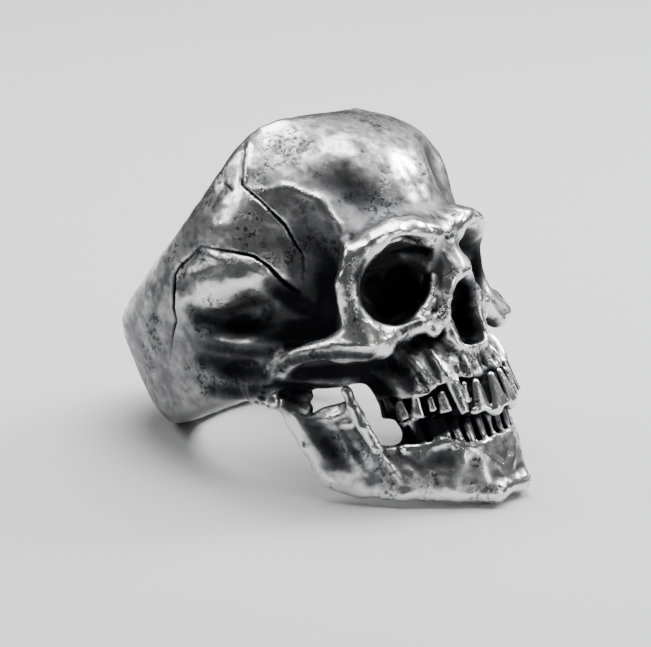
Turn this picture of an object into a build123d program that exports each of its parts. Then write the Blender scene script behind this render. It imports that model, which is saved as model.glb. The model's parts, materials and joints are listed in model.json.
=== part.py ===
"""Skull ring cast in one piece: a finger band that swells into a skull with its lower jaw.

The form is set out in the ring's own directions: side (out from the midline, the same both
ways), ahead (the way the face looks) and up (along the finger hole, from the jaw hinge to the
crown). Bones, bars, teeth and hollows stand in short tables whose places are shares of the
skull's half width, reach and rise. They melt into one another as wax does, and the cast
skin is then faceted, finely at the teeth and coarser towards the back of the band. The finger
hole is bored round and true, and the ring is leaned back to lie on its jaw and band.
"""
import math
import os
from collections import namedtuple

import numpy as np
from build123d import *

# Finger hole and band, mm. Slopes are mm of height for each mm ahead.
finger_radius = 9.9
side_wall = 2.4
rear_wall = 4.0
foot_height = 1.0
foot_slope = 0.06
under_slope = 0.42
under_start = 4.0
under_length = 9.0
under_melt = 1.0
rim_height = 15.0
rim_slope_rear = 0.34
rim_slope_front = 0.70
rim_blend = 1.5
rim_round = 1.2
shoulder_reach = 9.0
shoulder_round = 2.0

# Skull, mm: the lengths that the tables' shares are taken of, and the jaw's depth under the hinge
half_width = 12.5
reach = 20.0
rise = 20.0
jaw_drop = 14.0

# How far neighbours flow into one another, mm: within a bar, jaw to head, and tooth to gum
bar_melt = 0.35
jaw_melt = 0.25
tooth_melt = 0.15

# Facets, mm: edge at the mouth, and how much longer it gets with distance from there
facet_fine = 0.58
facet_growth = 0.0095
skin_margin = 1.12

Egg = namedtuple("Egg", "side ahead up broad long tall nod turn power melt")
Swell = namedtuple("Swell", "side ahead up broad long tall lift")
Bar = namedtuple("Bar", "melt tall run")
Tooth = namedtuple("Tooth", "neck_side neck_ahead edge_side edge_ahead neck_up edge_up neck edge")

# Rounded bones. Places and half sizes are shares of half_width, reach and rise. Nod leans the
# front up and turn swings it sideways, in degrees. Power over 2 squares the form, and melt is
# how far it flows into what it meets, in mm. Shoulder is the form that the band leans in to.
DOME = Egg(0.0, 0.150, 0.450, 0.992, 0.645, 0.592, 3, 0, 2.3, 1.0)
SHOULDER = Egg(0.0, 0.100, 0.400, 1.000, 0.750, 0.635, 0, 0, 2.5, 1.0)
UPPER_JAW = Egg(0.0, 0.475, -0.080, 0.430, 0.235, 0.160, 0, 0, 2.6, 0.9)
RAMUS_PLATE = Egg(0.790, 0.320, -0.235, 0.050, 0.125, 0.165, -10, -15, 2.6, 0.5)
HINGE_BALL = Egg(0.864, 0.157, 0.004, 0.052, 0.0325, 0.0325, 0, 0, 2.0, 0.15)

# Rounded hollows, in the same columns
TEMPLE_GAP = Egg(0.86, 0.450, 0.150, 0.130, 0.150, 0.130, 0, -10, 2.2, 0.6)
CHEEK_PIT = Egg(0.56, 0.645, -0.040, 0.130, 0.085, 0.062, 0, 0, 2.0, 0.5)
FACE_HOLLOWS = [
    Egg(0.405, 0.720, 0.232, 0.248, 0.205, 0.138, 12, 12, 2.5, 0.40),
    Egg(0.0, 0.770, 0.032, 0.145, 0.200, 0.086, 0, 0, 2.2, 0.25),
    Egg(0.0, 0.790, 0.100, 0.075, 0.200, 0.062, 0, 0, 2.0, 0.25),
]

# Gentle swells and dents of the vault and temples: reach of each way and lift, as shares
SWELLS = [
    Swell(0.42, 0.400, 0.990, 0.20, 0.140, 0.100, 0.036),
    Swell(0.47, 0.720, 0.630, 0.13, 0.080, 0.085, -0.060),
    Swell(0.54, 0.665, 0.720, 0.10, 0.080, 0.070, -0.035),
    Swell(0.36, 0.800, 0.530, 0.30, 0.100, 0.050, -0.030),
    Swell(0.88, 0.520, 0.560, 0.30, 0.100, 0.100, -0.095),
    Swell(0.86, 0.495, 0.370, 0.28, 0.080, 0.130, -0.195),
    Swell(0.93, 0.330, 0.340, 0.25, 0.130, 0.050, -0.090),
    Swell(0.98, 0.230, 0.490, 0.25, 0.200, 0.045, 0.060),
    Swell(0.84, 0.300, 0.680, 0.25, 0.120, 0.060, 0.040),
    Swell(0.98, 0.210, 0.355, 0.20, 0.090, 0.035, -0.130),
    Swell(0.98, 0.080, 0.200, 0.20, 0.050, 0.040, -0.070),
    Swell(0.98, 0.180, 0.240, 0.20, 0.080, 0.030, 0.050),
    Swell(0.74, -0.150, 0.780, 0.34, 0.280, 0.130, -0.066),
]

# Bars of bone. Melt is in mm, tall over 1 stretches the section upwards, and the run's places are
# (side, ahead, up, thickness) as shares, where thickness is a radius, a share of half_width.
BROW = Bar(0.9, 1.0, [(0.68, 0.69, 0.39, 0.078), (0.55, 0.745, 0.408, 0.085),
                      (0.41, 0.78, 0.42, 0.09), (0.27, 0.795, 0.4, 0.09),
                      (0.12, 0.795, 0.365, 0.09), (0.0, 0.785, 0.345, 0.08)])
OUTER_RIM = Bar(0.7, 1.0, [(0.68, 0.69, 0.39, 0.08), (0.755, 0.635, 0.3, 0.08),
                           (0.765, 0.612, 0.2, 0.08), (0.75, 0.605, 0.11, 0.105)])
LOWER_RIM = Bar(0.7, 1.0, [(0.74, 0.615, 0.115, 0.09), (0.6, 0.625, 0.075, 0.08),
                           (0.5, 0.645, 0.07, 0.075), (0.37, 0.69, 0.08, 0.07),
                           (0.26, 0.725, 0.13, 0.06)])
CHEEK_ARCH = Bar(0.5, 1.0, [(0.9, 0.12, 0.07, 0.1), (0.915, 0.23, 0.098, 0.08),
                            (0.925, 0.36, 0.135, 0.062), (0.905, 0.46, 0.122, 0.07),
                            (0.845, 0.545, 0.09, 0.095), (0.745, 0.6, 0.08, 0.115),
                            (0.64, 0.625, 0.035, 0.085)])
NOSE_BRIDGE = Bar(0.8, 1.0, [(0.0, 0.775, 0.33, 0.075), (0.0, 0.79, 0.25, 0.065),
                             (0.0, 0.825, 0.172, 0.065)])
NOSE_WING = Bar(0.5, 1.0, [(0.04, 0.795, 0.25, 0.055), (0.09, 0.79, 0.175, 0.055),
                           (0.145, 0.77, 0.11, 0.045)])
NOSE_EDGE = Bar(0.4, 1.0, [(0.165, 0.75, 0.12, 0.05), (0.185, 0.735, 0.045, 0.05),
                           (0.15, 0.725, -0.03, 0.052), (0.07, 0.725, -0.075, 0.052),
                           (0.0, 0.75, -0.085, 0.052)])
UPPER_GUM = Bar(0.7, 1.3, [(0.0, 0.695, -0.165, 0.078), (0.16, 0.69, -0.165, 0.078),
                           (0.27, 0.655, -0.15, 0.082), (0.36, 0.59, -0.125, 0.082),
                           (0.405, 0.52, -0.11, 0.08), (0.42, 0.45, -0.1, 0.08)])
ROOT_RIDGES = [
    Bar(0.35, 1.0, [(0.27, 0.695, -0.205, 0.034), (0.29, 0.69, -0.13, 0.03),
                    (0.31, 0.685, -0.06, 0.02)]),
    Bar(0.35, 1.0, [(0.36, 0.655, -0.205, 0.03), (0.38, 0.64, -0.13, 0.026),
                    (0.42, 0.645, -0.05, 0.018)]),
    Bar(0.35, 1.0, [(0.41, 0.6, -0.2, 0.028), (0.43, 0.575, -0.13, 0.024),
                    (0.47, 0.59, -0.06, 0.016)]),
    Bar(0.35, 1.0, [(0.085, 0.74, -0.205, 0.028), (0.09, 0.74, -0.14, 0.02),
                    (0.06, 0.745, -0.095, 0.014)]),
    Bar(0.35, 1.0, [(0.19, 0.725, -0.205, 0.026), (0.2, 0.725, -0.14, 0.02),
                    (0.16, 0.73, -0.09, 0.014)]),
]
JAW_BODY = Bar(0.8, 1.5, [(0.0, 0.605, -0.54, 0.085), (0.17, 0.598, -0.54, 0.09),
                          (0.34, 0.535, -0.51, 0.08), (0.52, 0.455, -0.45, 0.072),
                          (0.66, 0.37, -0.4, 0.064), (0.765, 0.285, -0.37, 0.058)])
JAW_CREST = Bar(0.8, 1.0, [(0.0, 0.62, -0.47, 0.072), (0.15, 0.617, -0.468, 0.072),
                           (0.27, 0.59, -0.458, 0.068), (0.38, 0.53, -0.415, 0.064),
                           (0.49, 0.46, -0.372, 0.058), (0.6, 0.412, -0.33, 0.05)])
JAW_BORDER = Bar(0.5, 1.0, [(0.0, 0.62, -0.64, 0.062), (0.14, 0.62, -0.648, 0.074),
                            (0.34, 0.525, -0.59, 0.06), (0.59, 0.415, -0.512, 0.052),
                            (0.735, 0.305, -0.44, 0.052), (0.82, 0.222, -0.36, 0.054)])
RAMUS_REAR = Bar(0.5, 1.0, [(0.862, 0.162, -0.02, 0.034), (0.86, 0.185, -0.1, 0.044),
                            (0.855, 0.205, -0.2, 0.052), (0.83, 0.225, -0.335, 0.056)])
RAMUS_FRONT = Bar(0.5, 1.0, [(0.775, 0.446, -0.095, 0.042), (0.76, 0.445, -0.16, 0.052),
                             (0.7, 0.42, -0.28, 0.052), (0.66, 0.4, -0.37, 0.05),
                             (0.66, 0.37, -0.43, 0.04)])
TOOTH_BACKING = Bar(0.3, 3.2, [(0.0, 0.64, -0.32, 0.05), (0.18, 0.63, -0.32, 0.05),
                               (0.3, 0.59, -0.29, 0.062), (0.38, 0.5, -0.265, 0.06)])

# Teeth of one side, from the midline back. Neck and edge are radii, as shares of half_width.
UPPER_TEETH = [
    Tooth(0.085, 0.740, 0.084, 0.748, -0.205, -0.338, 0.042, 0.070),
    Tooth(0.190, 0.720, 0.205, 0.727, -0.205, -0.318, 0.038, 0.050),
    Tooth(0.268, 0.700, 0.265, 0.708, -0.200, -0.330, 0.050, 0.030),
    Tooth(0.338, 0.658, 0.345, 0.662, -0.205, -0.284, 0.042, 0.040),
    Tooth(0.390, 0.608, 0.395, 0.610, -0.200, -0.264, 0.042, 0.044),
    Tooth(0.425, 0.560, 0.430, 0.562, -0.190, -0.254, 0.046, 0.048),
    Tooth(0.450, 0.502, 0.460, 0.497, -0.175, -0.246, 0.052, 0.054),
    Tooth(0.465, 0.445, 0.475, 0.440, -0.165, -0.216, 0.052, 0.050),
]
LOWER_TEETH = [
    Tooth(0.050, 0.632, 0.050, 0.655, -0.450, -0.352, 0.032, 0.038),
    Tooth(0.150, 0.628, 0.150, 0.648, -0.445, -0.346, 0.032, 0.038),
    Tooth(0.240, 0.602, 0.245, 0.624, -0.435, -0.340, 0.034, 0.038),
    Tooth(0.320, 0.560, 0.325, 0.582, -0.415, -0.322, 0.034, 0.038),
    Tooth(0.385, 0.515, 0.390, 0.537, -0.395, -0.306, 0.040, 0.046),
    Tooth(0.440, 0.470, 0.440, 0.487, -0.375, -0.286, 0.044, 0.050),
]


def join(a, b, melt):
    """Union of two distances, flowing together over the melt length."""
    share = np.clip(0.5 + 0.5 * (b - a) / melt, 0.0, 1.0)
    return b + (a - b) * share - melt * share * (1.0 - share)


def carve(a, b, melt):
    """What of a is left when b is taken away, with a soft lip."""
    return -join(-a, b, melt)


def place(side, ahead, up):
    """Shares to millimetres."""
    return np.array([side * half_width, ahead * reach, up * rise])


def egg_distance(point, egg):
    """Signed distance to a rounded bone or hollow, true near its skin."""
    centre = place(egg.side, egg.ahead, egg.up)
    half = place(egg.broad, egg.long, egg.tall)
    side, ahead, up = (axis - middle for axis, middle in zip(point, centre))
    turn = math.radians(egg.turn)
    nod = math.radians(egg.nod)
    side, ahead = (side * math.cos(turn) - ahead * math.sin(turn),
                   side * math.sin(turn) + ahead * math.cos(turn))
    ahead, up = (ahead * math.cos(nod) + up * math.sin(nod),
                 up * math.cos(nod) - ahead * math.sin(nod))
    parts = [np.abs(axis) / size for axis, size in zip((side, ahead, up), half)]
    total = sum(part ** egg.power for part in parts) + 1e-9
    slope = sum((part ** (egg.power - 1) / size) ** 2 for part, size in zip(parts, half))
    steepness = np.sqrt(slope) * total ** ((1 - egg.power) / egg.power)
    return (total ** (1 / egg.power) - 1.0) / np.maximum(steepness, 1e-4)


def rod_distance(point, start, end, start_radius, end_radius, tall=1.0):
    """Signed distance to a tapered round rod; tall over 1 stretches its section upwards."""
    stretch = np.array([1.0, 1.0, 1.0 / tall])
    start = start * stretch
    way = end * stretch - start
    offset = [axis * scale - first for axis, scale, first in zip(point, stretch, start)]
    along = sum(part * step for part, step in zip(offset, way)) / (way @ way)
    along = np.clip(along, 0.0, 1.0)
    gap = sum((part - step * along) ** 2 for part, step in zip(offset, way))
    return np.sqrt(gap) - start_radius - (end_radius - start_radius) * along


def bar_distance(point, bar):
    """Signed distance to a bar of bone that follows its run of places."""
    distance = None
    for first, last in zip(bar.run[:-1], bar.run[1:]):
        rod = rod_distance(point, place(*first[:3]), place(*last[:3]),
                           first[3] * half_width, last[3] * half_width, bar.tall)
        distance = rod if distance is None else join(distance, rod, bar_melt)
    return distance


def join_bar(distance, point, bar):
    """A form with a bar of bone added to it."""
    return join(distance, bar_distance(point, bar), bar.melt)


def over_slope(ahead, up, height, slope):
    """Distance above a plane that rises ahead."""
    return (up - height - slope * ahead) / math.hypot(1.0, slope)


def band_distance(point):
    """Signed distance to the band: an oval wall that leans in like the vault and slants up to it."""
    side, ahead, up = point
    side_radius = finger_radius + side_wall
    rear_radius = finger_radius + rear_wall
    oval = np.sqrt((side / side_radius) ** 2 + (ahead / rear_radius) ** 2)
    wall = (oval - 1.0) * side_radius
    over_rim = join(over_slope(ahead, up, rim_height, rim_slope_rear),
                    over_slope(ahead, up, rim_height, rim_slope_front), rim_blend)
    wall = carve(wall, -over_rim, rim_round)
    wall = carve(wall, -egg_distance(point, SHOULDER), SHOULDER.melt)
    return carve(wall, shoulder_reach - ahead, shoulder_round)


def under_distance(ahead, up):
    """Distance above the band's foot, which climbs under the skull towards the face."""
    climb = np.clip(ahead - under_start, 0.0, under_length)
    foot = foot_height - foot_slope * ahead - under_slope * climb
    return (up - foot) / math.hypot(1.0, foot_slope + under_slope)


def swell_height(point):
    """How far the gentle swells lift the skin."""
    height = 0.0
    for swell in SWELLS:
        centre = place(swell.side, swell.ahead, swell.up)
        spread = place(swell.broad, swell.long, swell.tall)
        far = sum(((axis - middle) / width) ** 2 for axis, middle, width in zip(point, centre, spread))
        height = height + swell.lift * half_width * np.exp(-0.5 * far)
    return height


def head_distance(point):
    """Signed distance to the band, vault, face and upper jaw."""
    side, ahead, up = point
    head = join(egg_distance(point, DOME), band_distance(point), DOME.melt)
    head = carve(head, under_distance(ahead, up), under_melt)
    head = head - swell_height(point)
    head = carve(head, egg_distance(point, TEMPLE_GAP), TEMPLE_GAP.melt)
    head = join(head, egg_distance(point, UPPER_JAW), UPPER_JAW.melt)
    head = carve(head, egg_distance(point, CHEEK_PIT), CHEEK_PIT.melt)
    for bar in [BROW, OUTER_RIM, LOWER_RIM, CHEEK_ARCH, NOSE_BRIDGE, NOSE_WING]:
        head = join_bar(head, point, bar)
    for hollow in FACE_HOLLOWS:
        head = carve(head, egg_distance(point, hollow), hollow.melt)
    for bar in [NOSE_EDGE, UPPER_GUM] + ROOT_RIDGES:
        head = join_bar(head, point, bar)
    return head


def jaw_distance(point):
    """Signed distance to the lower jaw, up to the ball at its hinge."""
    jaw = bar_distance(point, JAW_BODY)
    for bar in [JAW_CREST, JAW_BORDER]:
        jaw = join_bar(jaw, point, bar)
    jaw = join(jaw, egg_distance(point, RAMUS_PLATE), RAMUS_PLATE.melt)
    for bar in [RAMUS_REAR, RAMUS_FRONT]:
        jaw = join_bar(jaw, point, bar)
    return join(jaw, egg_distance(point, HINGE_BALL), HINGE_BALL.melt)


def skull_distance(point):
    """Signed distance to the whole casting before the finger hole is bored."""
    side, ahead, up = point
    point = (np.abs(side), ahead, up)
    skull = join(head_distance(point), jaw_distance(point), jaw_melt)
    for tooth in UPPER_TEETH + LOWER_TEETH:
        neck = place(tooth.neck_side, tooth.neck_ahead, tooth.neck_up)
        edge = place(tooth.edge_side, tooth.edge_ahead, tooth.edge_up)
        crown = rod_distance(point, neck, edge, tooth.neck * half_width, tooth.edge * half_width)
        skull = join(skull, crown, tooth_melt)
    return join_bar(skull, point, TOOTH_BACKING)


def grid_places():
    """Corners of a lattice whose cells grow with distance from the mouth, as side, ahead, up."""
    mouth = place(0.0, 0.62, -0.28)
    low = np.array([-half_width, -finger_radius - rear_wall, -jaw_drop]) * skin_margin
    high = np.array([half_width, reach, rise]) * skin_margin
    far = np.maximum(mouth - low, high - mouth)
    counts = []
    for length in far:
        root = math.sqrt(facet_fine ** 2 + 4.0 * facet_growth * length)
        counts.append(math.ceil((root - facet_fine) / (2.0 * facet_growth)))
    steps = np.meshgrid(*[np.arange(-count, count + 1) for count in counts], indexing="ij")
    lattice = np.stack(steps, axis=-1).astype(float)
    distance = np.linalg.norm(lattice, axis=-1, keepdims=True)
    return mouth + lattice * (facet_fine + facet_growth * distance)


def unknot(values, fill=-0.02):
    """Fills the lattice corners at which two sheets of skin would touch, so that it stays simple."""
    values = values.copy()
    for _ in range(20):
        knots = fill_crossed_faces(values, fill) + fill_opposite_corners(values, fill)
        if not knots:
            break
    return values


def corner_views(values, shifts):
    """Views of the lattice values, moved by each of the given shifts."""
    views = []
    longest = np.array(shifts).max(axis=0)
    for shift in shifts:
        window = tuple(slice(start, size - span + start)
                       for start, size, span in zip(shift, values.shape, longest))
        views.append(values[window])
    return views


def fill_crossed_faces(values, fill):
    """Fills a corner of each lattice face whose inside and outside corners alternate."""
    knots = 0
    for axes in ((0, 1), (0, 2), (1, 2)):
        first, second = np.eye(3, dtype=int)[list(axes)]
        views = corner_views(values, [0 * first, first, first + second, second])
        for a, b, c, d in ((0, 1, 2, 3), (1, 2, 3, 0)):
            knot = (views[a] >= 0) & (views[c] >= 0) & (views[b] < 0) & (views[d] < 0)
            nearer = views[a] <= views[c]
            knots += np.count_nonzero(knot)
            views[a][knot & nearer] = fill
            views[c][knot & ~nearer] = fill
    return knots


def fill_opposite_corners(values, fill):
    """Fills a corner of each lattice cell in which only two opposite corners stand apart."""
    knots = 0
    shifts = [(i, j, k) for i in (0, 1) for j in (0, 1) for k in (0, 1)]
    views = corner_views(values, shifts)
    for start in range(4):
        end = 7 - start
        others = [view for index, view in enumerate(views) if index not in (start, end)]
        apart = (views[start] < 0) & (views[end] < 0) & np.all([view >= 0 for view in others], axis=0)
        views[start][apart] = -fill
        knots += np.count_nonzero(apart)
        hole = (views[start] >= 0) & (views[end] >= 0) & np.all([view < 0 for view in others], axis=0)
        views[start][hole] = fill
        knots += np.count_nonzero(hole)
    return knots


def cut_edges(values, places, axis):
    """Where the skin crosses the lattice edges that run along one axis."""
    first = [slice(None)] * 3
    last = [slice(None)] * 3
    first[axis] = slice(0, -1)
    last[axis] = slice(1, None)
    start = values[tuple(first)]
    end = values[tuple(last)]
    crossed = (start < 0) != (end < 0)
    share = np.where(crossed, start / np.where(crossed, start - end, 1.0), 0.0)[..., None]
    points = places[tuple(first)] * (1.0 - share) + places[tuple(last)] * share
    return crossed, points, start < 0


def skin_of(places, values, pull=0.15):
    """Skin of the solid: one corner in each crossed cell, and a four-sided facet for each edge.

    Each corner is pulled that share of the way to its cell's middle, so that no facet folds.
    """
    shape = np.array(values.shape)
    total = np.zeros(tuple(shape - 1) + (3,))
    count = np.zeros(tuple(shape - 1))
    crossings = []
    for axis in range(3):
        crossed, points, inside = cut_edges(values, places, axis)
        crossings.append((crossed, inside))
        others = [other for other in range(3) if other != axis]
        for shifts in ((0, 0), (0, 1), (1, 0), (1, 1)):
            window = [slice(None)] * 3
            for other, shift in zip(others, shifts):
                window[other] = slice(shift, shape[other] - 1 + shift)
            total += np.where(crossed[tuple(window)][..., None], points[tuple(window)], 0.0)
            count += crossed[tuple(window)]
    filled = count > 0
    numbers = np.full(filled.shape, -1)
    numbers[filled] = np.arange(np.count_nonzero(filled))
    crossing_mean = total[filled] / count[filled][:, None]
    cell_corners = corner_views(places, [(i, j, k, 0) for i in (0, 1) for j in (0, 1) for k in (0, 1)])
    cell_middle = (sum(cell_corners) / 8.0)[filled]
    corners = crossing_mean + pull * (cell_middle - crossing_mean)
    facets = []
    for axis, (crossed, inside) in enumerate(crossings):
        second = (axis + 1) % 3
        third = (axis + 2) % 3
        edges = np.argwhere(crossed)
        ring = []
        for shift in ((-1, -1), (0, -1), (0, 0), (-1, 0)):
            cells = edges.copy()
            cells[:, second] += shift[0]
            cells[:, third] += shift[1]
            ring.append(numbers[tuple(cells.T)])
        facet = np.stack(ring, axis=1)
        outward = inside[tuple(edges.T)]
        facet[~outward] = facet[~outward][:, ::-1]
        facets.append(facet)
    return corners, np.concatenate(facets)


def settle(corners, rounds=3, probe=0.02, least_steep=0.25, longest_move=0.12):
    """Moves the corners onto the true skin, along its slope, a little way at a time."""
    for _ in range(rounds):
        height = skull_distance(corners.T)
        slope = []
        for axis in range(3):
            step = np.zeros(3)
            step[axis] = probe
            rise_over_step = skull_distance((corners + step).T) - skull_distance((corners - step).T)
            slope.append(rise_over_step / (2 * probe))
        slope = np.stack(slope, axis=1)
        steep = np.maximum((slope ** 2).sum(axis=1), least_steep)
        move = np.clip(height / steep, -longest_move, longest_move)
        corners = corners - slope * move[:, None]
    return corners


def triangles_of(corners, facets):
    """Each four-sided facet as two triangles, split along its shorter diagonal."""
    straight = np.linalg.norm(corners[facets[:, 0]] - corners[facets[:, 2]], axis=1)
    crossing = np.linalg.norm(corners[facets[:, 1]] - corners[facets[:, 3]], axis=1)
    turned = np.where((straight <= crossing)[:, None], facets, np.roll(facets, -1, axis=1))
    return np.concatenate([turned[:, [0, 1, 2]], turned[:, [0, 2, 3]]])


def lean_to_rest(corners, halvings=40):
    """Angle in radians by which the ring leans back to lie on its band's foot and its jaw."""
    behind = corners[corners[:, 1] < 0.0]
    before = corners[corners[:, 1] > 0.0]
    low_angle = 0.0
    high_angle = math.pi / 3.0
    for _ in range(halvings):
        angle = (low_angle + high_angle) / 2.0
        lift = np.array([0.0, math.sin(angle), math.cos(angle)])
        if (behind @ lift).min() > (before @ lift).min():
            low_angle = angle
        else:
            high_angle = angle
    return angle


def laid_down(points, angle, drop=(0.0, 0.0, 0.0)):
    """Ring directions to the resting pose: the face looks along -Y and rises as the ring leans back."""
    side, ahead, up = np.asarray(points).T
    along = ahead * math.cos(angle) - up * math.sin(angle)
    height = ahead * math.sin(angle) + up * math.cos(angle)
    return np.stack([-side, -along, height], axis=-1) - np.asarray(drop)


places = grid_places()
values = unknot(skull_distance(np.moveaxis(places, -1, 0)))
corners, facets = skin_of(places, values)
corners = settle(corners)
triangles = triangles_of(corners, facets)

# The resting pose, with the origin under the middle of the ring's box
clear_of_hole = corners[np.hypot(corners[:, 0], corners[:, 1]) > finger_radius]
lean_back = lean_to_rest(clear_of_hole)
resting = laid_down(clear_of_hole, lean_back)
low = resting.min(axis=0)
high = resting.max(axis=0)
drop = np.array([0.0, (low[1] + high[1]) / 2.0, low[2]])
skin_points = [Vector(*point) for point in laid_down(corners, lean_back, drop).tolist()]
hole_middle = laid_down([0.0, 0.0, 0.0], lean_back, drop)
hole_way = laid_down([0.0, 0.0, 1.0], lean_back)

with BuildPart() as skull_ring:
    skin = [Face(Wire.make_polygon([skin_points[corner] for corner in triangle])) for triangle in triangles]
    add(Solid(Shell(skin)))
    with BuildSketch(Plane(origin=tuple(hole_middle), z_dir=tuple(hole_way))):
        Circle(finger_radius)
    extrude(amount=2.0 * rise, both=True, mode=Mode.SUBTRACT)
skull_ring.part.label = "skull_ring"

os.makedirs("parts", exist_ok=True)
export_step(skull_ring.part, "parts/skull_ring.step", write_pcurves=False)
print("leans back", round(math.degrees(lean_back), 2), "degrees")
print("hole middle", [round(float(value), 4) for value in hole_middle])
print("hole way", [round(float(value), 5) for value in hole_way])
print("volume", round(skull_ring.part.volume, 1), "facets", len(skull_ring.part.faces()))
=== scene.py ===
"""A cast silver skull ring: fine relief, antique silver, floor, light and the view."""

import json
import logging
import math
from dataclasses import dataclass, field
from enum import Enum
from functools import reduce

import bmesh
import bpy
import numpy as np
import openvdb as vdb
from mathutils import Matrix, Vector

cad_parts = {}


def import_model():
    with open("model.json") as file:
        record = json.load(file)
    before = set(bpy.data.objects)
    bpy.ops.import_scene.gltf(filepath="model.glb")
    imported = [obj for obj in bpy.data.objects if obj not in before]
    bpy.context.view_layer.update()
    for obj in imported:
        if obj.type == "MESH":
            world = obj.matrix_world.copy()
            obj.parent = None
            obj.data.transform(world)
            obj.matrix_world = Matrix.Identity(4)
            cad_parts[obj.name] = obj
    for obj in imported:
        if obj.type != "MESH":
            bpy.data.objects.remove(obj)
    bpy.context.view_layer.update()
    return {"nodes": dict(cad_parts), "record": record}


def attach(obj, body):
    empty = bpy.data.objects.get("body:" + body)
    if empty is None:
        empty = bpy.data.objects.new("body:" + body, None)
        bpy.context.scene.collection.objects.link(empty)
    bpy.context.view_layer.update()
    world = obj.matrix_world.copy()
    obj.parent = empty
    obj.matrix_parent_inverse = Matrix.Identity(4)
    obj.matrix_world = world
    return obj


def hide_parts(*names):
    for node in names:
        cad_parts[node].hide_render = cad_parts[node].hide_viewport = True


LOG = logging.getLogger("skull_ring")

Range = tuple[float, float]
Triple = tuple[float, float, float]
Colour = tuple[float, float, float, float]
Window = tuple[slice, slice, slice]
Axes = tuple[np.ndarray, np.ndarray, np.ndarray]

METRES = 0.001  # metres in a mm
PICTURE = (651, 647)  # the photograph's width and height, picture points
HOLE_FOOT = -4.794  # height of the finger hole's lower end over the finger's middle, mm
SIGHT_STEP = 0.08  # between the points looked at along a line of sight, mm
WALL_STEP = 0.04  # the same where a line of sight meets an upright wall, mm
STROKE_STEP = 5.0  # between the points of a stroke, picture points
PATCH_STEP = 6.0  # between the points of a patch, picture points
LEAP = 2.2  # two neighbouring points further apart than this lie across a drop, mm


class Cut(Enum):
    """Shape of a tool stroke across its line."""

    VEE = "vee"
    BELL = "bell"


@dataclass(frozen=True)
class RingFrame:
    """The ring's own directions, in mm from the middle of the finger.

    Attributes:
        origin: the finger's middle in the world, mm.
        turn: rows are the side, ahead and up directions in the world.
        finger: radius of the finger hole, mm.
    """

    origin: np.ndarray
    turn: np.ndarray
    finger: float

    @classmethod
    def of_record(cls, record: dict) -> "RingFrame":
        """Works the frame out from the finger hole.

        Args:
            record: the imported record.

        Returns:
            The ring's frame.
        """
        hole = next(mount for mount in record["mounts"] if mount["name"] == "finger_hole")
        up = np.array(hole["axis"])
        up = up / np.linalg.norm(up)
        side = np.array((-1.0, 0.0, 0.0))
        ahead = np.cross(up, side)
        middle = hole["dims"]["length_mm"] / 2 + HOLE_FOOT
        origin = np.array(hole["pos_m"]) / METRES - middle * up
        return cls(origin, np.stack((side, ahead, up)), float(hole["dims"]["r_mm"]))

    def inward(self, points: np.ndarray) -> np.ndarray:
        """World points in metres as ring points in mm."""
        return (points / METRES - self.origin) @ self.turn.T

    def outward(self, points: np.ndarray) -> np.ndarray:
        """Ring points in mm as world points in metres."""
        return (points @ self.turn + self.origin) * METRES


@dataclass(frozen=True)
class Sight:
    """The photograph's view of the ring, in the ring's frame.

    Attributes:
        right: the picture's right.
        up: the picture's up.
        scale: picture points per mm at the finger's middle.
        middle: picture point of the finger's middle.
        distance: from the eye to the finger's middle, mm.
        room: how far before and behind the finger's middle the ring is looked for, mm.
    """

    right: Triple = (-0.5650, 0.7258, -0.3924)
    up: Triple = (-0.2191, 0.3266, 0.9194)
    scale: float = 12.7
    middle: tuple[float, float] = (326.0, 384.0)
    distance: float = 400.0
    room: float = 24.0

    def towards(self) -> np.ndarray:
        """Direction from the ring to the eye."""
        way = np.cross(self.right, self.up)
        return way / np.linalg.norm(way)

    def spot(self, places: np.ndarray) -> np.ndarray:
        """Points of the plane through the finger's middle, facing the eye, that show at the places.

        Args:
            places: picture points, one row each.

        Returns:
            Ring points in mm.
        """
        across = (places[:, :1] - self.middle[0]) / self.scale
        height = (self.middle[1] - places[:, 1:2]) / self.scale
        return across * np.array(self.right) + height * np.array(self.up)

    def eye(self) -> np.ndarray:
        """The eye's place in the ring's frame, in front of the picture's centre."""
        centre = self.spot(np.array([[PICTURE[0] / 2, PICTURE[1] / 2]]))[0]
        return centre + self.towards() * self.distance

    def lines(self, places: np.ndarray, step: float) -> tuple[np.ndarray, np.ndarray, np.ndarray]:
        """Points along the lines of sight, from the eye on.

        Args:
            places: picture points, one row each.
            step: how far apart the points are, mm.

        Returns:
            The eye, the lines' directions and the distances of the points from the eye.
        """
        eye = self.eye()
        way = self.spot(places) - eye
        way = way / np.linalg.norm(way, axis=1, keepdims=True)
        return eye, way, np.arange(self.distance - self.room, self.distance + self.room, step)

    def meet(self, places: np.ndarray, wall: np.ndarray) -> np.ndarray:
        """Where the lines of sight first pass an upright wall.

        Args:
            places: picture points, one row each.
            wall: side and ahead of the wall's corners, one row each.

        Returns:
            Ring points in mm.
        """
        eye, way, run = self.lines(places, WALL_STEP)
        points = eye + way[:, None, :] * run[None, :, None]
        behind = points[..., 1] < np.interp(points[..., 0], wall[:, 0], wall[:, 1])
        return points[np.arange(len(places)), np.argmax(behind, axis=1)]


@dataclass(frozen=True)
class Stroke:
    """One stroke of a tool along the skin.

    Attributes:
        path: picture points x, y and the share of width and lift there.
        width: half width in mm.
        lift: height in mm, under nought for a cut.
        cut: the shape across.
        reach: how far above and below the skin it works, mm.
        blunt: share of the lift left at the ends.
    """

    path: tuple[Triple, ...]
    width: float
    lift: float
    cut: Cut = Cut.BELL
    reach: float = 1.2
    blunt: float = 0.3


@dataclass(frozen=True)
class Push:
    """A soft shove that moves part of the casting.

    Attributes:
        spot: middle of the part, ring mm.
        spread: how far the shove fades along side, ahead and up, mm.
        way: how far the middle moves, mm.
    """

    spot: Triple
    spread: Triple
    way: Triple


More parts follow.
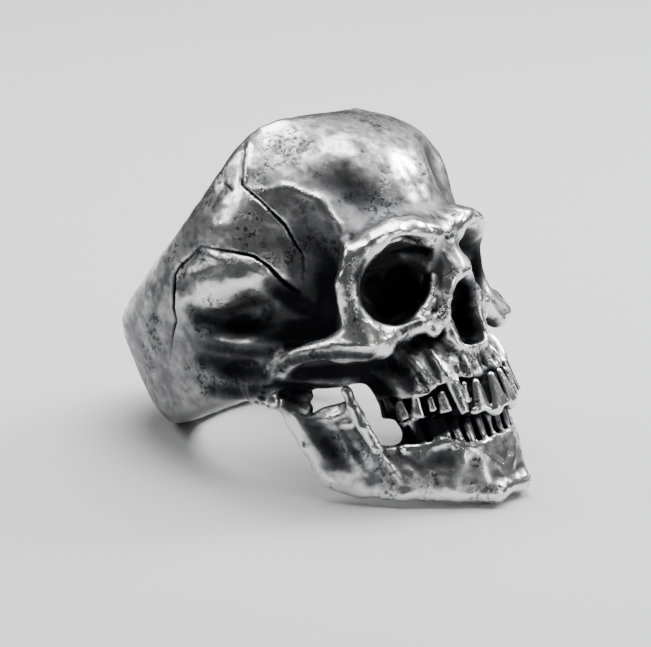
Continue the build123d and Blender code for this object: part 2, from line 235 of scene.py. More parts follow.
@dataclass(frozen=True)
class Patch:
    """A patch of the finish: oxide or bare silver, with painted shade or painted highlight.

    Attributes:
        path: picture points x, y and the strength there.
        width: half width in mm.
    """

    path: tuple[Triple, ...]
    width: float


@dataclass(frozen=True)
class Crown:
    """A tooth's crown, in mm of the ring's frame.

    Attributes:
        neck: middle of the neck.
        edge: middle of the biting edge.
        neck_width: half width at the neck.
        edge_width: half width at the edge.
        thickness: thickness as a share of the width.
        outward: direction of the outer face, side and ahead.
        thinning: share of the thickness that is lost at the edge.
        bluntness: how far the crown stands past its edge point, as a share of the edge's half width.
    """

    neck: Triple
    edge: Triple
    neck_width: float
    edge_width: float
    thickness: float
    outward: tuple[float, float]
    thinning: float = 0.35
    bluntness: float = 0.35


class Clay:
    """The casting as a block of signed distances in mm, negative inside, in the ring's frame.

    Attributes:
        step: the block's cell, mm.
        band: how far from the skin distances are true, mm.
        low: ring point of the first cell, mm.
        depth: the distances as worked so far.
        calm: the distances of the skin that strokes are laid on.
        cast: the distances as first filled.
    """

    MARGIN = 8  # empty cells round the form
    FEEL = 0.4  # to each side of a point that the skin's direction is felt over, mm
    WAYS = 64  # directions in which open space is looked for
    LOOKS = (0.3, 0.6, 0.95, 1.4, 2.0, 2.7, 3.5, 4.5, 6.0)  # how far it is looked for, mm
    CLOSE = 0.95  # the furthest of these that is close by, mm
    CLEARANCE = 0.22  # how far off the skin a look starts, mm
    GLANCE = 0.08  # how far a direction must point out of the skin to count

    def __init__(self, points: np.ndarray, triangles: np.ndarray, step: float, band: float) -> None:
        """Fills the block from a closed mesh.

        Args:
            points: ring points in mm.
            triangles: rows of three point numbers.
            step: the block's cell, mm.
            band: how far from the skin distances are true, mm.
        """
        self.step = step
        self.band = band
        first = np.floor(points.min(0) / step).astype(int) - self.MARGIN
        last = np.ceil(points.max(0) / step).astype(int) + self.MARGIN
        reach = max(-first[0], last[0])
        first[0], last[0] = -reach, reach + 1
        grid = vdb.FloatGrid.createLevelSetFromPolygons(
            points.astype(np.float32), triangles=triangles.astype(np.uint32),
            transform=vdb.createLinearTransform(voxelSize=step), halfWidth=band / step)
        self.depth = np.empty(tuple(last - first), np.float32)
        grid.copyToArray(self.depth, ijk=tuple(int(number) for number in first))
        self.low = first * step
        self.calm = self.depth
        self.cast = self.depth

    def axes(self, window: Window) -> Axes:
        """Coordinates of a window's cells.

        Args:
            window: the cells.

        Returns:
            Open arrays of side, ahead and up, mm.
        """
        lines = [self.low[axis] + self.step * np.arange(part.start, part.stop)
                 for axis, part in enumerate(window)]
        return np.ix_(*(line.astype(np.float32) for line in lines))

    def window(self, low: np.ndarray, high: np.ndarray) -> Window:
        """The cells between two corners.

        Args:
            low: the corner with the least side, ahead and up, ring mm.
            high: the corner with the most.

        Returns:
            The cells, at least one each way.
        """
        first = np.floor((low - self.low) / self.step).astype(int)
        last = np.ceil((high - self.low) / self.step).astype(int) + 1
        first = np.clip(first, 0, np.array(self.depth.shape) - 1)
        last = np.clip(last, first + 1, self.depth.shape)
        return tuple(slice(int(start), int(stop)) for start, stop in zip(first, last))

    def around(self, ends: tuple, margin: float | Triple) -> Window:
        """The cells of the box round two points, with a margin in mm."""
        return self.window(np.minimum(*ends) - margin, np.maximum(*ends) + margin)

    def whole(self) -> Window:
        """The window of the whole block."""
        return tuple(slice(0, length) for length in self.depth.shape)

    def read(self, values: np.ndarray, points: np.ndarray, step: float | None = None) -> np.ndarray:
        """Values at points, by straight lines between the cells.

        Args:
            values: an array over the block, or a coarser one with its own step.
            points: ring points in mm, in the last axis.
            step: the array's cell when it isn't the block's.

        Returns:
            One value for each point.
        """
        place = (points - self.low) / (step or self.step)
        place = np.clip(place, 0.0, np.array(values.shape) - 1.001)
        cell = place.astype(int)
        part = place - cell
        total = 0.0
        for corner in np.ndindex(2, 2, 2):
            weight = 1.0
            for axis in range(3):
                weight = weight * (part[..., axis] if corner[axis] else 1.0 - part[..., axis])
            total = total + weight * values[tuple(cell[..., axis] + corner[axis] for axis in range(3))]
        return total

    def keep_calm(self) -> None:
        """Remembers the present skin as the one that strokes are laid on."""
        self.calm = self.depth.copy()

    def facing(self, points: np.ndarray) -> np.ndarray:
        """Directions out of the calm skin.

        Args:
            points: ring points in mm, in the last axis.

        Returns:
            A direction of length one for each point.
        """
        ways = []
        for axis in range(3):
            shift = np.zeros(3)
            shift[axis] = self.FEEL
            ways.append(self.read(self.calm, points + shift) - self.read(self.calm, points - shift))
        way = np.stack(ways, -1)
        return way / np.maximum(np.linalg.norm(way, axis=-1, keepdims=True), 1e-6)

    def seen(self, sight: Sight, places: np.ndarray) -> tuple[np.ndarray, np.ndarray]:
        """Where the calm skin shows at picture points.

        Args:
            sight: the view.
            places: picture points, one row each.

        Returns:
            Ring points in mm, and whether the skin is there.
        """
        eye, way, run = sight.lines(places, SIGHT_STEP)
        points = eye + way[:, None, :] * run[None, :, None]
        high = self.low + self.step * (np.array(self.depth.shape) - 1)
        outside = np.any((points < self.low) | (points > high), axis=2)
        values = np.where(outside, self.band, self.read(self.calm, points))
        hit = values < 0.0
        first = np.argmax(hit, axis=1)
        rows = np.arange(len(places))
        before = values[rows, np.maximum(first - 1, 0)]
        after = values[rows, first]
        back = np.where(before > after, after / np.minimum(after - before, -1e-6), 0.0)
        depth = run[first] - SIGHT_STEP * back
        return eye + way * depth[:, None], hit.any(axis=1)

    def soften(self, radius: float) -> None:
        """Rounds the whole form.

        Args:
            radius: spread of the rounding, mm.
        """
        self.depth = spread(self.depth, radius / self.step)

    def mirror(self) -> None:
        """Copies the shape of the near side to the far side."""
        half = self.depth.shape[0] // 2
        self.depth[:half] = self.depth[:half:-1]

    def melt_in(self, window: Window, form: np.ndarray, melt: float) -> None:
        """Joins a form to the clay.

        Args:
            window: the cells it covers.
            form: its signed distances there.
            melt: how far the two flow together, mm.
        """
        self.depth[window] = melted(self.depth[window], form, melt)

    def take_out(self, window: Window, form: np.ndarray, melt: float) -> None:
        """Carves a form out of the clay.

        Args:
            window: the cells it covers.
            form: its signed distances there.
            melt: how softly its lip turns, mm.
        """
        self.depth[window] = -melted(-self.depth[window], form, melt)

    def draw(self, sight: Sight, stroke: Stroke) -> None:
        """Lays a stroke on the calm skin.

        Args:
            sight: the view that its path is given in.
            stroke: the stroke.
        """
        path = finely(np.array(stroke.path, float), STROKE_STEP)
        points, there = self.seen(sight, path[:, :2])
        if not there.any():
            LOG.warning("stroke at %s meets no silver", stroke.path[0])
            return
        ends = np.linspace(0.0, 1.0, len(path))
        taper = stroke.blunt + (1.0 - stroke.blunt) * np.sqrt(np.sin(math.pi * np.clip(ends, 0.02, 0.98)))
        share = path[:, 2] * taper
        normals = self.facing(points)
        margin = stroke.width * 3.0 + stroke.reach
        low = points[there].min(0) - margin
        high = points[there].max(0) + margin
        window = self.window(low, high)
        height = np.zeros(self.depth[window].shape, np.float32)
        for start, end in zip(range(len(path) - 1), range(1, len(path))):
            if not (there[start] and there[end]):
                continue
            if np.linalg.norm(points[end] - points[start]) > LEAP:
                continue
            pair = slice(start, end + 1)
            part = self.window(points[pair].min(0) - margin, points[pair].max(0) + margin)
            local = tuple(slice(inner.start - outer.start, inner.stop - outer.start)
                          for inner, outer in zip(part, window))
            value = stroke_height(self.axes(part), points[pair], normals[pair], share[pair], stroke)
            height[local] = np.maximum(height[local], value)
        self.depth[window] -= math.copysign(1.0, stroke.lift) * height

    def push(self, push: Push) -> None:
        """Moves part of the clay without thinning it.

        Args:
            push: the shove.
        """
        spot = np.array(push.spot)
        margin = 3.0 * np.array(push.spread)
        window = self.window(spot - margin, spot + margin)
        points = np.stack(np.broadcast_arrays(*self.axes(window)), -1)
        share = np.exp(-0.5 * (((points - spot) / push.spread) ** 2).sum(-1, keepdims=True))
        self.depth[window] = self.read(self.depth, points - share * push.way)

    def patch_strength(self, sight: Sight, patches: tuple[Patch, ...], points: np.ndarray) -> np.ndarray:
        """How strongly patches cover points, on both sides alike.

        Args:
            sight: the view that the patches are given in.
            patches: the patches.
            points: ring points in mm.

        Returns:
            Strengths, nought to one.
        """
        folded = points.copy()
        folded[:, 0] = np.abs(folded[:, 0])
        total = np.zeros(len(points))
        for patch in patches:
            path = finely(np.array(patch.path, float), PATCH_STEP)
            spots, there = self.seen(sight, path[:, :2])
            spots[:, 0] = np.abs(spots[:, 0])
            for spot, share in zip(spots[there], path[there, 2]):
                gap = ((folded - spot) ** 2).sum(1)
                total = np.maximum(total, share * np.exp(-gap / patch.width ** 2))
        return total

    def openness(self, points: np.ndarray, normals: np.ndarray) -> tuple[np.ndarray, np.ndarray]:
        """How much open space each point of the skin looks into.

        Args:
            points: ring points in mm.
            normals: directions out of the skin there.

        Returns:
            The open share close by and further off, 0 to 1.
        """
        number = np.arange(self.WAYS) + 0.5
        high = 1.0 - number / (self.WAYS / 2)
        wide = np.sqrt(1.0 - high ** 2)
        turn = number * math.pi * (3.0 - math.sqrt(5.0))
        ways = np.stack((np.cos(turn) * wide, np.sin(turn) * wide, high), -1)
        solid = self.depth < 0.0
        top = np.array(self.depth.shape) - 1
        start = (points + normals * self.CLEARANCE - self.low) / self.step + 0.5
        sums = np.zeros((3, len(points)))
        for way in ways:
            facing = normals @ way
            rows = np.nonzero(facing > self.GLANCE)[0]
            clear = np.ones(len(rows), bool)
            near = clear
            for run in self.LOOKS:
                cell = (start[rows] + way * (run / self.step)).astype(np.int32)
                cell = np.clip(cell, 0, top)
                clear = clear & ~solid[cell[:, 0], cell[:, 1], cell[:, 2]]
                if run == self.CLOSE:
                    near = clear
            sums[0, rows] += facing[rows] * near
            sums[1, rows] += facing[rows] * clear
            sums[2, rows] += facing[rows]
        return sums[0] / sums[2], sums[1] / sums[2]

    def polygons(self) -> tuple[np.ndarray, np.ndarray]:
        """The skin, facing outwards.

        Returns:
            Ring points in mm and rows of four point numbers.
        """
        grid = vdb.FloatGrid(float(self.band))
        grid.copyFromArray(self.depth)
        points, _, quads = grid.convertToPolygons(isovalue=0.0, adaptivity=0.0)
        return points * self.step + self.low, quads


def rise(values: np.ndarray, start: float, length: float) -> np.ndarray:
    """A ramp from nought at the start to one after a length, which may run down."""
    return np.clip((values - start) / length, 0.0, 1.0)


def melted(old: np.ndarray, form: np.ndarray, melt: float) -> np.ndarray:
    """Signed distances of two forms that flow together over a length."""
    share = np.clip(0.5 + 0.5 * (form - old) / melt, 0.0, 1.0)
    return form + (old - form) * share - melt * share * (1.0 - share)


def gather(mesh: bpy.types.Mesh, name: str) -> np.ndarray:
    """One vector of each of a mesh's vertices.

    Args:
        mesh: the mesh.
        name: which vector.

    Returns:
        A row for each vertex.
    """
    values = np.empty(len(mesh.vertices) * 3, np.float32)
    mesh.vertices.foreach_get(name, values)
    return values.reshape(-1, 3)


def finely(path: np.ndarray, step: float) -> np.ndarray:
    """A path with more points.

    Args:
        path: rows of picture points x and y and of what runs along with them.
        step: the furthest that points may lie apart, picture points.

    Returns:
        The path's rows and those between them.
    """
    rows = [path[:1]]
    for first, last in zip(path[:-1], path[1:]):
        count = max(1, math.ceil(np.hypot(*(last - first)[:2]) / step))
        share = np.linspace(0.0, 1.0, count + 1)[1:, None]
        rows.append(first + (last - first) * share)
    return np.concatenate(rows)


def stroke_height(axes: Axes, points: np.ndarray, normals: np.ndarray, share: np.ndarray,
                  stroke: Stroke) -> np.ndarray:
    """How far one length of a stroke lifts the skin.

    Args:
        axes: open coordinate arrays.
        points: the length's two ends.
        normals: directions out of the skin there.
        share: share of width and lift there.
        stroke: the stroke.

    Returns:
        Heights in mm, nought or more.
    """
    way = points[1] - points[0]
    offset = [axis - first for axis, first in zip(axes, points[0])]
    along = sum(part * step for part, step in zip(offset, way)) / max(float(way @ way), 1e-6)
    along = np.clip(along, 0.0, 1.0)
    gap = [part - step * along for part, step in zip(offset, way)]
    turn = [first + (last - first) * along for first, last in zip(*normals)]
    high = sum(part * step for part, step in zip(gap, turn))
    wide = np.sqrt(np.maximum(sum(part * part for part in gap) - high * high, 0.0))
    scale = share[0] + (share[1] - share[0]) * along
    across = wide / (stroke.width * np.sqrt(np.maximum(scale, 0.05)))
    if stroke.cut is Cut.VEE:
        shape = np.maximum(1.0 - across, 0.0)
    else:
        shape = np.exp(-across ** 2)
    fade = np.clip(2.0 - np.abs(high) / stroke.reach, 0.0, 1.0)
    return abs(stroke.lift) * scale * shape * fade


def spread(values: np.ndarray, radius: float) -> np.ndarray:
    """Blurs an array.

    Args:
        values: the array.
        radius: the blur's spread, in cells.

    Returns:
        The blurred array.
    """
    half = max(1, math.ceil(radius * 2.5))
    weights = np.exp(-0.5 * (np.arange(-half, half + 1) / radius) ** 2)
    weights = (weights / weights.sum()).astype(np.float32)
    for axis in range(3):
        padding = [(half, half) if number == axis else (0, 0) for number in range(3)]
        padded = np.pad(values, padding, mode="edge")
        length = values.shape[axis]
        total = np.zeros_like(values)
        for number, weight in enumerate(weights):
            part = [slice(None)] * 3
            part[axis] = slice(number, number + length)
            total += weight * padded[tuple(part)]
        values = total
    return values


def grain(shape: tuple[int, ...], cell: int, seed: int) -> np.ndarray:
    """Smooth seeded noise over an array.

    Args:
        shape: the array's shape.
        cell: size of a lump, in cells.
        seed: the noise's seed.

    Returns:
        Noise about nought, mostly between -1 and 1.
    """
    rng = np.random.default_rng(seed)
    noise = rng.normal(0.0, 0.8, tuple(length // cell + 4 for length in shape)).astype(np.float32)
    for axis, length in enumerate(shape):
        place = np.arange(length) / cell + 1.0
        number = place.astype(int)
        part = (place - number).astype(np.float32)
        part = part * part * (3.0 - 2.0 * part)
        part = part.reshape([-1 if place_axis == axis else 1 for place_axis in range(3)])
        first = np.take(noise, number, axis=axis)
        last = np.take(noise, number + 1, axis=axis)
        noise = first + (last - first) * part
    return noise


def rod(axes: Axes, ends: tuple, radii: tuple[float, float],
        stretch: Triple = (1.0, 1.0, 1.0)) -> np.ndarray:
    """Signed distance to a tapered rod.

    Args:
        axes: open coordinate arrays.
        ends: the middle of each end.
        radii: the radius at each end, mm.
        stretch: how many times longer the section is in each direction.

    Returns:
        Distances in mm.
    """
    scale = 1.0 / np.array(stretch)
    start, end = (np.array(place) * scale for place in ends)
    way = end - start
    offset = [axis * size - first for axis, size, first in zip(axes, scale, start)]
    along = np.clip(sum(part * step for part, step in zip(offset, way)) / (way @ way), 0.0, 1.0)
    gap = sum((part - step * along) ** 2 for part, step in zip(offset, way))
    return np.sqrt(gap) - radii[0] - (radii[1] - radii[0]) * along


def blade(axes: Axes, crown: Crown) -> np.ndarray:
    """Signed distance to a crown.

    Args:
        axes: open coordinate arrays.
        crown: the crown.

    Returns:
        Distances in mm.
    """
    neck = np.array(crown.neck)
    long = np.array(crown.edge) - neck
    length = float(np.linalg.norm(long))
    long = long / length
    out = np.array((*crown.outward, 0.0))
    out = out - long * (out @ long)
    out = out / np.linalg.norm(out)
    wide = np.cross(long, out)
    offset = [axis - first for axis, first in zip(axes, neck)]
    along, thick, across = (sum(part * step for part, step in zip(offset, way)) for way in (long, out, wide))
    share = np.clip(along / length, 0.0, 1.0)
    radius = crown.neck_width + (crown.edge_width - crown.neck_width) * share
    past = along - length * share
    plump = 1.0 - crown.thinning * share
    round_gap = np.sqrt((thick / (crown.thickness * plump)) ** 2 + across ** 2 + past ** 2)
    body = (round_gap - radius) * 0.8  # a stretched distance reads long, so it is held back
    bite = along - length - crown.bluntness * crown.edge_width
    return np.maximum(body, bite)


@dataclass
class Teeth:
    """The crowns of both jaws and the oxide and painted shade between them.

    Attributes:
        upper_wall: side and ahead of the outer faces of the upper row, from the middle back, mm.
        lower_wall: the same for the lower row.
        upper: picture points of neck and edge, half widths there, thickness and sink of each crown.
        lower: picture point of the neck and half width of each crown.
        lower_rise: outward and up from a lower crown's neck to its edge, mm.
        lower_sink: how far below its picture point a lower neck stands, mm.
        lower_thickness: thickness of the lower crowns as a share of their width.
        lower_taper: share of the half width that a lower crown has at its neck and at its edge.
        gum: how far a crown flows into the bone, mm.
        crest: picture points of the bone's edge below the lower crowns.
        crest_shift: how far outward and up the bone's edge lies from them, mm.
        crest_size: its radius, mm, and how many times higher than wide it is.
        back: the run of the wall behind both rows, mm.
        back_size: its radius, mm, and how many times higher than wide it is.
        trench: radius of what is cleared round the old crowns, mm.
        trench_room: how far above and below them it is cleared, mm.
        lip: how softly the cleared bone turns and its edge is joined on, mm.
        dark_upper: where black starts behind the upper faces, and the length over which it is full, mm.
        dark_lower: the same behind the lower faces.
        dark_feet: the same upward from the foot of the upper and of the lower row, ring mm.
        dark_tops: the same downward from the top of the upper and of the lower row.
        dark_rear: the same forward from the rows' rear end.
        dark_side: how far to the side it reaches, mm.
    """

    upper_wall: tuple = ((0.0, 15.75), (0.98, 15.69), (1.9, 15.35), (2.59, 14.96), (3.38, 14.47),
                         (3.83, 14.2), (4.64, 13.35), (5.2, 12.5), (5.7, 11.4), (6.18, 10.25),
                         (6.33, 9.4), (6.45, 4.0))
    lower_wall: tuple = ((0.0, 13.28), (2.0, 13.22), (3.1, 12.86), (4.1, 12.3), (4.8, 11.6),
                         (5.5, 10.75), (6.2, 10.1), (7.1, 9.4), (7.6, 4.0))
    upper: tuple = (
        ((493, 375), (503, 402), 0.38, 0.86, 0.70, -0.05),
        ((477, 382), (484, 406), 0.34, 0.72, 0.70, 0.0),
        ((466, 383), (469, 401), 0.28, 0.40, 0.80, 0.3),
        ((454, 384), (465, 411), 0.58, 0.36, 0.95, -0.2),
        ((442, 395), (446, 410), 0.36, 0.54, 0.80, -0.05),
        ((430, 399), (433, 410), 0.26, 0.34, 0.90, 0.05),
        ((415, 400), (417, 415), 0.38, 0.52, 0.85, 0.0),
        ((399, 405), (402, 418), 0.38, 0.50, 0.85, 0.0),
        ((385, 401), (391, 413), 0.36, 0.44, 0.80, 0.1),
    )
    lower: tuple = (((487, 438), 0.40), ((476, 443), 0.38), ((463, 443), 0.36), ((450, 440), 0.38),
                    ((439, 441), 0.40), ((424, 447), 0.42))
    lower_rise: tuple[float, float] = (0.3, 2.1)
    lower_sink: float = 0.2
    lower_thickness: float = 0.85
    lower_taper: tuple[float, float] = (0.9, 1.05)
    gum: float = 0.12
    crest: tuple = ((399, 447), (415, 445), (423, 447), (437, 441), (446, 438), (454, 442), (466, 444),
                    (474, 445), (483, 440), (497, 436))
    crest_shift: tuple[float, float] = (0.12, -0.25)
    crest_size: tuple[float, float] = (0.2, 1.6)
    back: tuple[Triple, ...] = ((0.0, 12.3, -7.0), (2.25, 12.15, -7.0), (3.75, 11.3, -6.5), (4.75, 9.6, -6.0))
    back_size: tuple[float, float] = (0.5, 5.0)
    trench: float = 1.0
    trench_room: float = 0.25
    lip: float = 0.2
    dark_upper: Range = (0.35, 0.4)
    dark_lower: Range = (0.10, 0.25)
    dark_feet: tuple[Range, Range] = ((-7.4, 0.4), (-9.4, 0.6))
    dark_tops: tuple[Range, Range] = ((-3.6, -0.6), (-6.2, -0.4))
    dark_rear: Range = (8.5, 1.0)
    dark_side: float = 6.9

    def crowns(self, sight: Sight) -> tuple[list[Crown], list[Crown]]:
        """The crowns of the near side, with their outer faces turned along the row.

        Args:
            sight: the view that they are placed in.

        Returns:
            The upper and the lower crowns, from the middle back.
        """
        necks = sight.meet(np.array([row[0] for row in self.upper], float), np.array(self.upper_wall))
        edges = sight.meet(np.array([row[1] for row in self.upper], float), np.array(self.upper_wall))
        upper = []
        for row, neck, edge, out in zip(self.upper, necks, edges, self.outward(necks)):
            neck_width, edge_width, thickness, sink = row[2:]
            neck = neck - out * (thickness * neck_width + sink)
            edge = edge - out * ((1.0 - Crown.thinning) * thickness * edge_width + sink)
            upper.append(Crown(tuple(neck), tuple(edge), neck_width, edge_width, thickness, tuple(out[:2])))
        necks = sight.meet(np.array([row[0] for row in self.lower], float), np.array(self.lower_wall))
        lean, height = self.lower_rise
        neck_share, edge_share = self.lower_taper
        lower = []
        for (_, width), neck, out in zip(self.lower, necks, self.outward(necks)):
            neck = neck - out * width * self.lower_thickness - (0.0, 0.0, self.lower_sink)
            edge = neck + out * lean + (0.0, 0.0, height)
            lower.append(Crown(tuple(neck), tuple(edge), width * neck_share, width * edge_share,
                               self.lower_thickness, tuple(out[:2])))
        return upper, lower

    def outward(self, row: np.ndarray) -> np.ndarray:
        """Level directions out of a row of places.

        Args:
            row: ring points in mm, from the middle back.

        Returns:
            A direction of length one for each place.
        """
        before = np.concatenate((row[:1] * (-1.0, 1.0, 1.0), row[:-1]))
        after = np.concatenate((row[1:], row[-1:]))
        way = after - before
        out = np.stack((-way[:, 1], way[:, 0], np.zeros(len(row))), -1)
        return out / np.linalg.norm(out, axis=1, keepdims=True)

    def shade(self, points: np.ndarray) -> np.ndarray:
        """How dark the mouth's oxide and painted shade are at points.

        Args:
            points: ring points in mm.

        Returns:
            Shares of black, nought to one.
        """
        side, ahead, up = np.abs(points[:, 0]), points[:, 1], points[:, 2]
        upper = np.interp(side, *np.array(self.upper_wall).T) - ahead
        lower = np.interp(side, *np.array(self.lower_wall).T) - ahead
        upper = rise(upper, *self.dark_upper) * rise(up, *self.dark_feet[0])
        lower = rise(lower, *self.dark_lower) * rise(up, *self.dark_feet[1]) * rise(up, *self.dark_tops[1])
        mouth = rise(up, *self.dark_tops[0]) * rise(ahead, *self.dark_rear) * (side < self.dark_side)
        return np.maximum(upper, lower) * mouth

    def clear(self, clay: Clay, sight: Sight) -> None:
        """Takes the plain crowns off, down to the wall behind them.

        Args:
            clay: the casting.
            sight: the view that the crowns are placed in.
        """
        for row in self.crowns(sight):
            for first, last in zip(row[:-1], row[1:]):
                ends = [(np.array(tooth.neck) + np.array(tooth.edge)) / 2 for tooth in (first, last)]
                tall = abs(first.neck[2] - first.edge[2]) / 2 + self.trench_room
                window = clay.around(ends, self.trench + tall)
                cleared = rod(clay.axes(window), ends, (self.trench, self.trench),
                              (1.0, 1.0, tall / self.trench))
                clay.take_out(window, cleared, self.lip)
        radius, tall = self.back_size
        for ends in zip(self.back[:-1], self.back[1:]):
            window = clay.around(ends, radius * tall + 0.7)
            wall = rod(clay.axes(window), ends, (radius, radius), (1.0, 1.0, tall))
            clay.melt_in(window, wall, self.lip / 2)

    def set_in(self, clay: Clay, sight: Sight) -> None:
        """Sets the crowns and the bone's edge below them.

        Args:
            clay: the casting.
            sight: the view that they are placed in.
        """
        for row in self.crowns(sight):
            for crown in row:
                window = clay.around((crown.neck, crown.edge), crown.edge_width + 0.6)
                clay.melt_in(window, blade(clay.axes(window), crown), self.gum)
        outward, upward = self.crest_shift
        radius, tall = self.crest_size
        crest = sight.meet(finely(np.array(self.crest, float), STROKE_STEP), np.array(self.lower_wall))
        crest = crest + self.outward(crest) * outward + (0.0, 0.0, upward)
        for ends in zip(crest[:-1], crest[1:]):
            window = clay.around(ends, radius * tall + 0.68)
            edge = rod(clay.axes(window), ends, (radius, radius), (1.0, 1.0, tall))
            clay.melt_in(window, edge, self.lip)


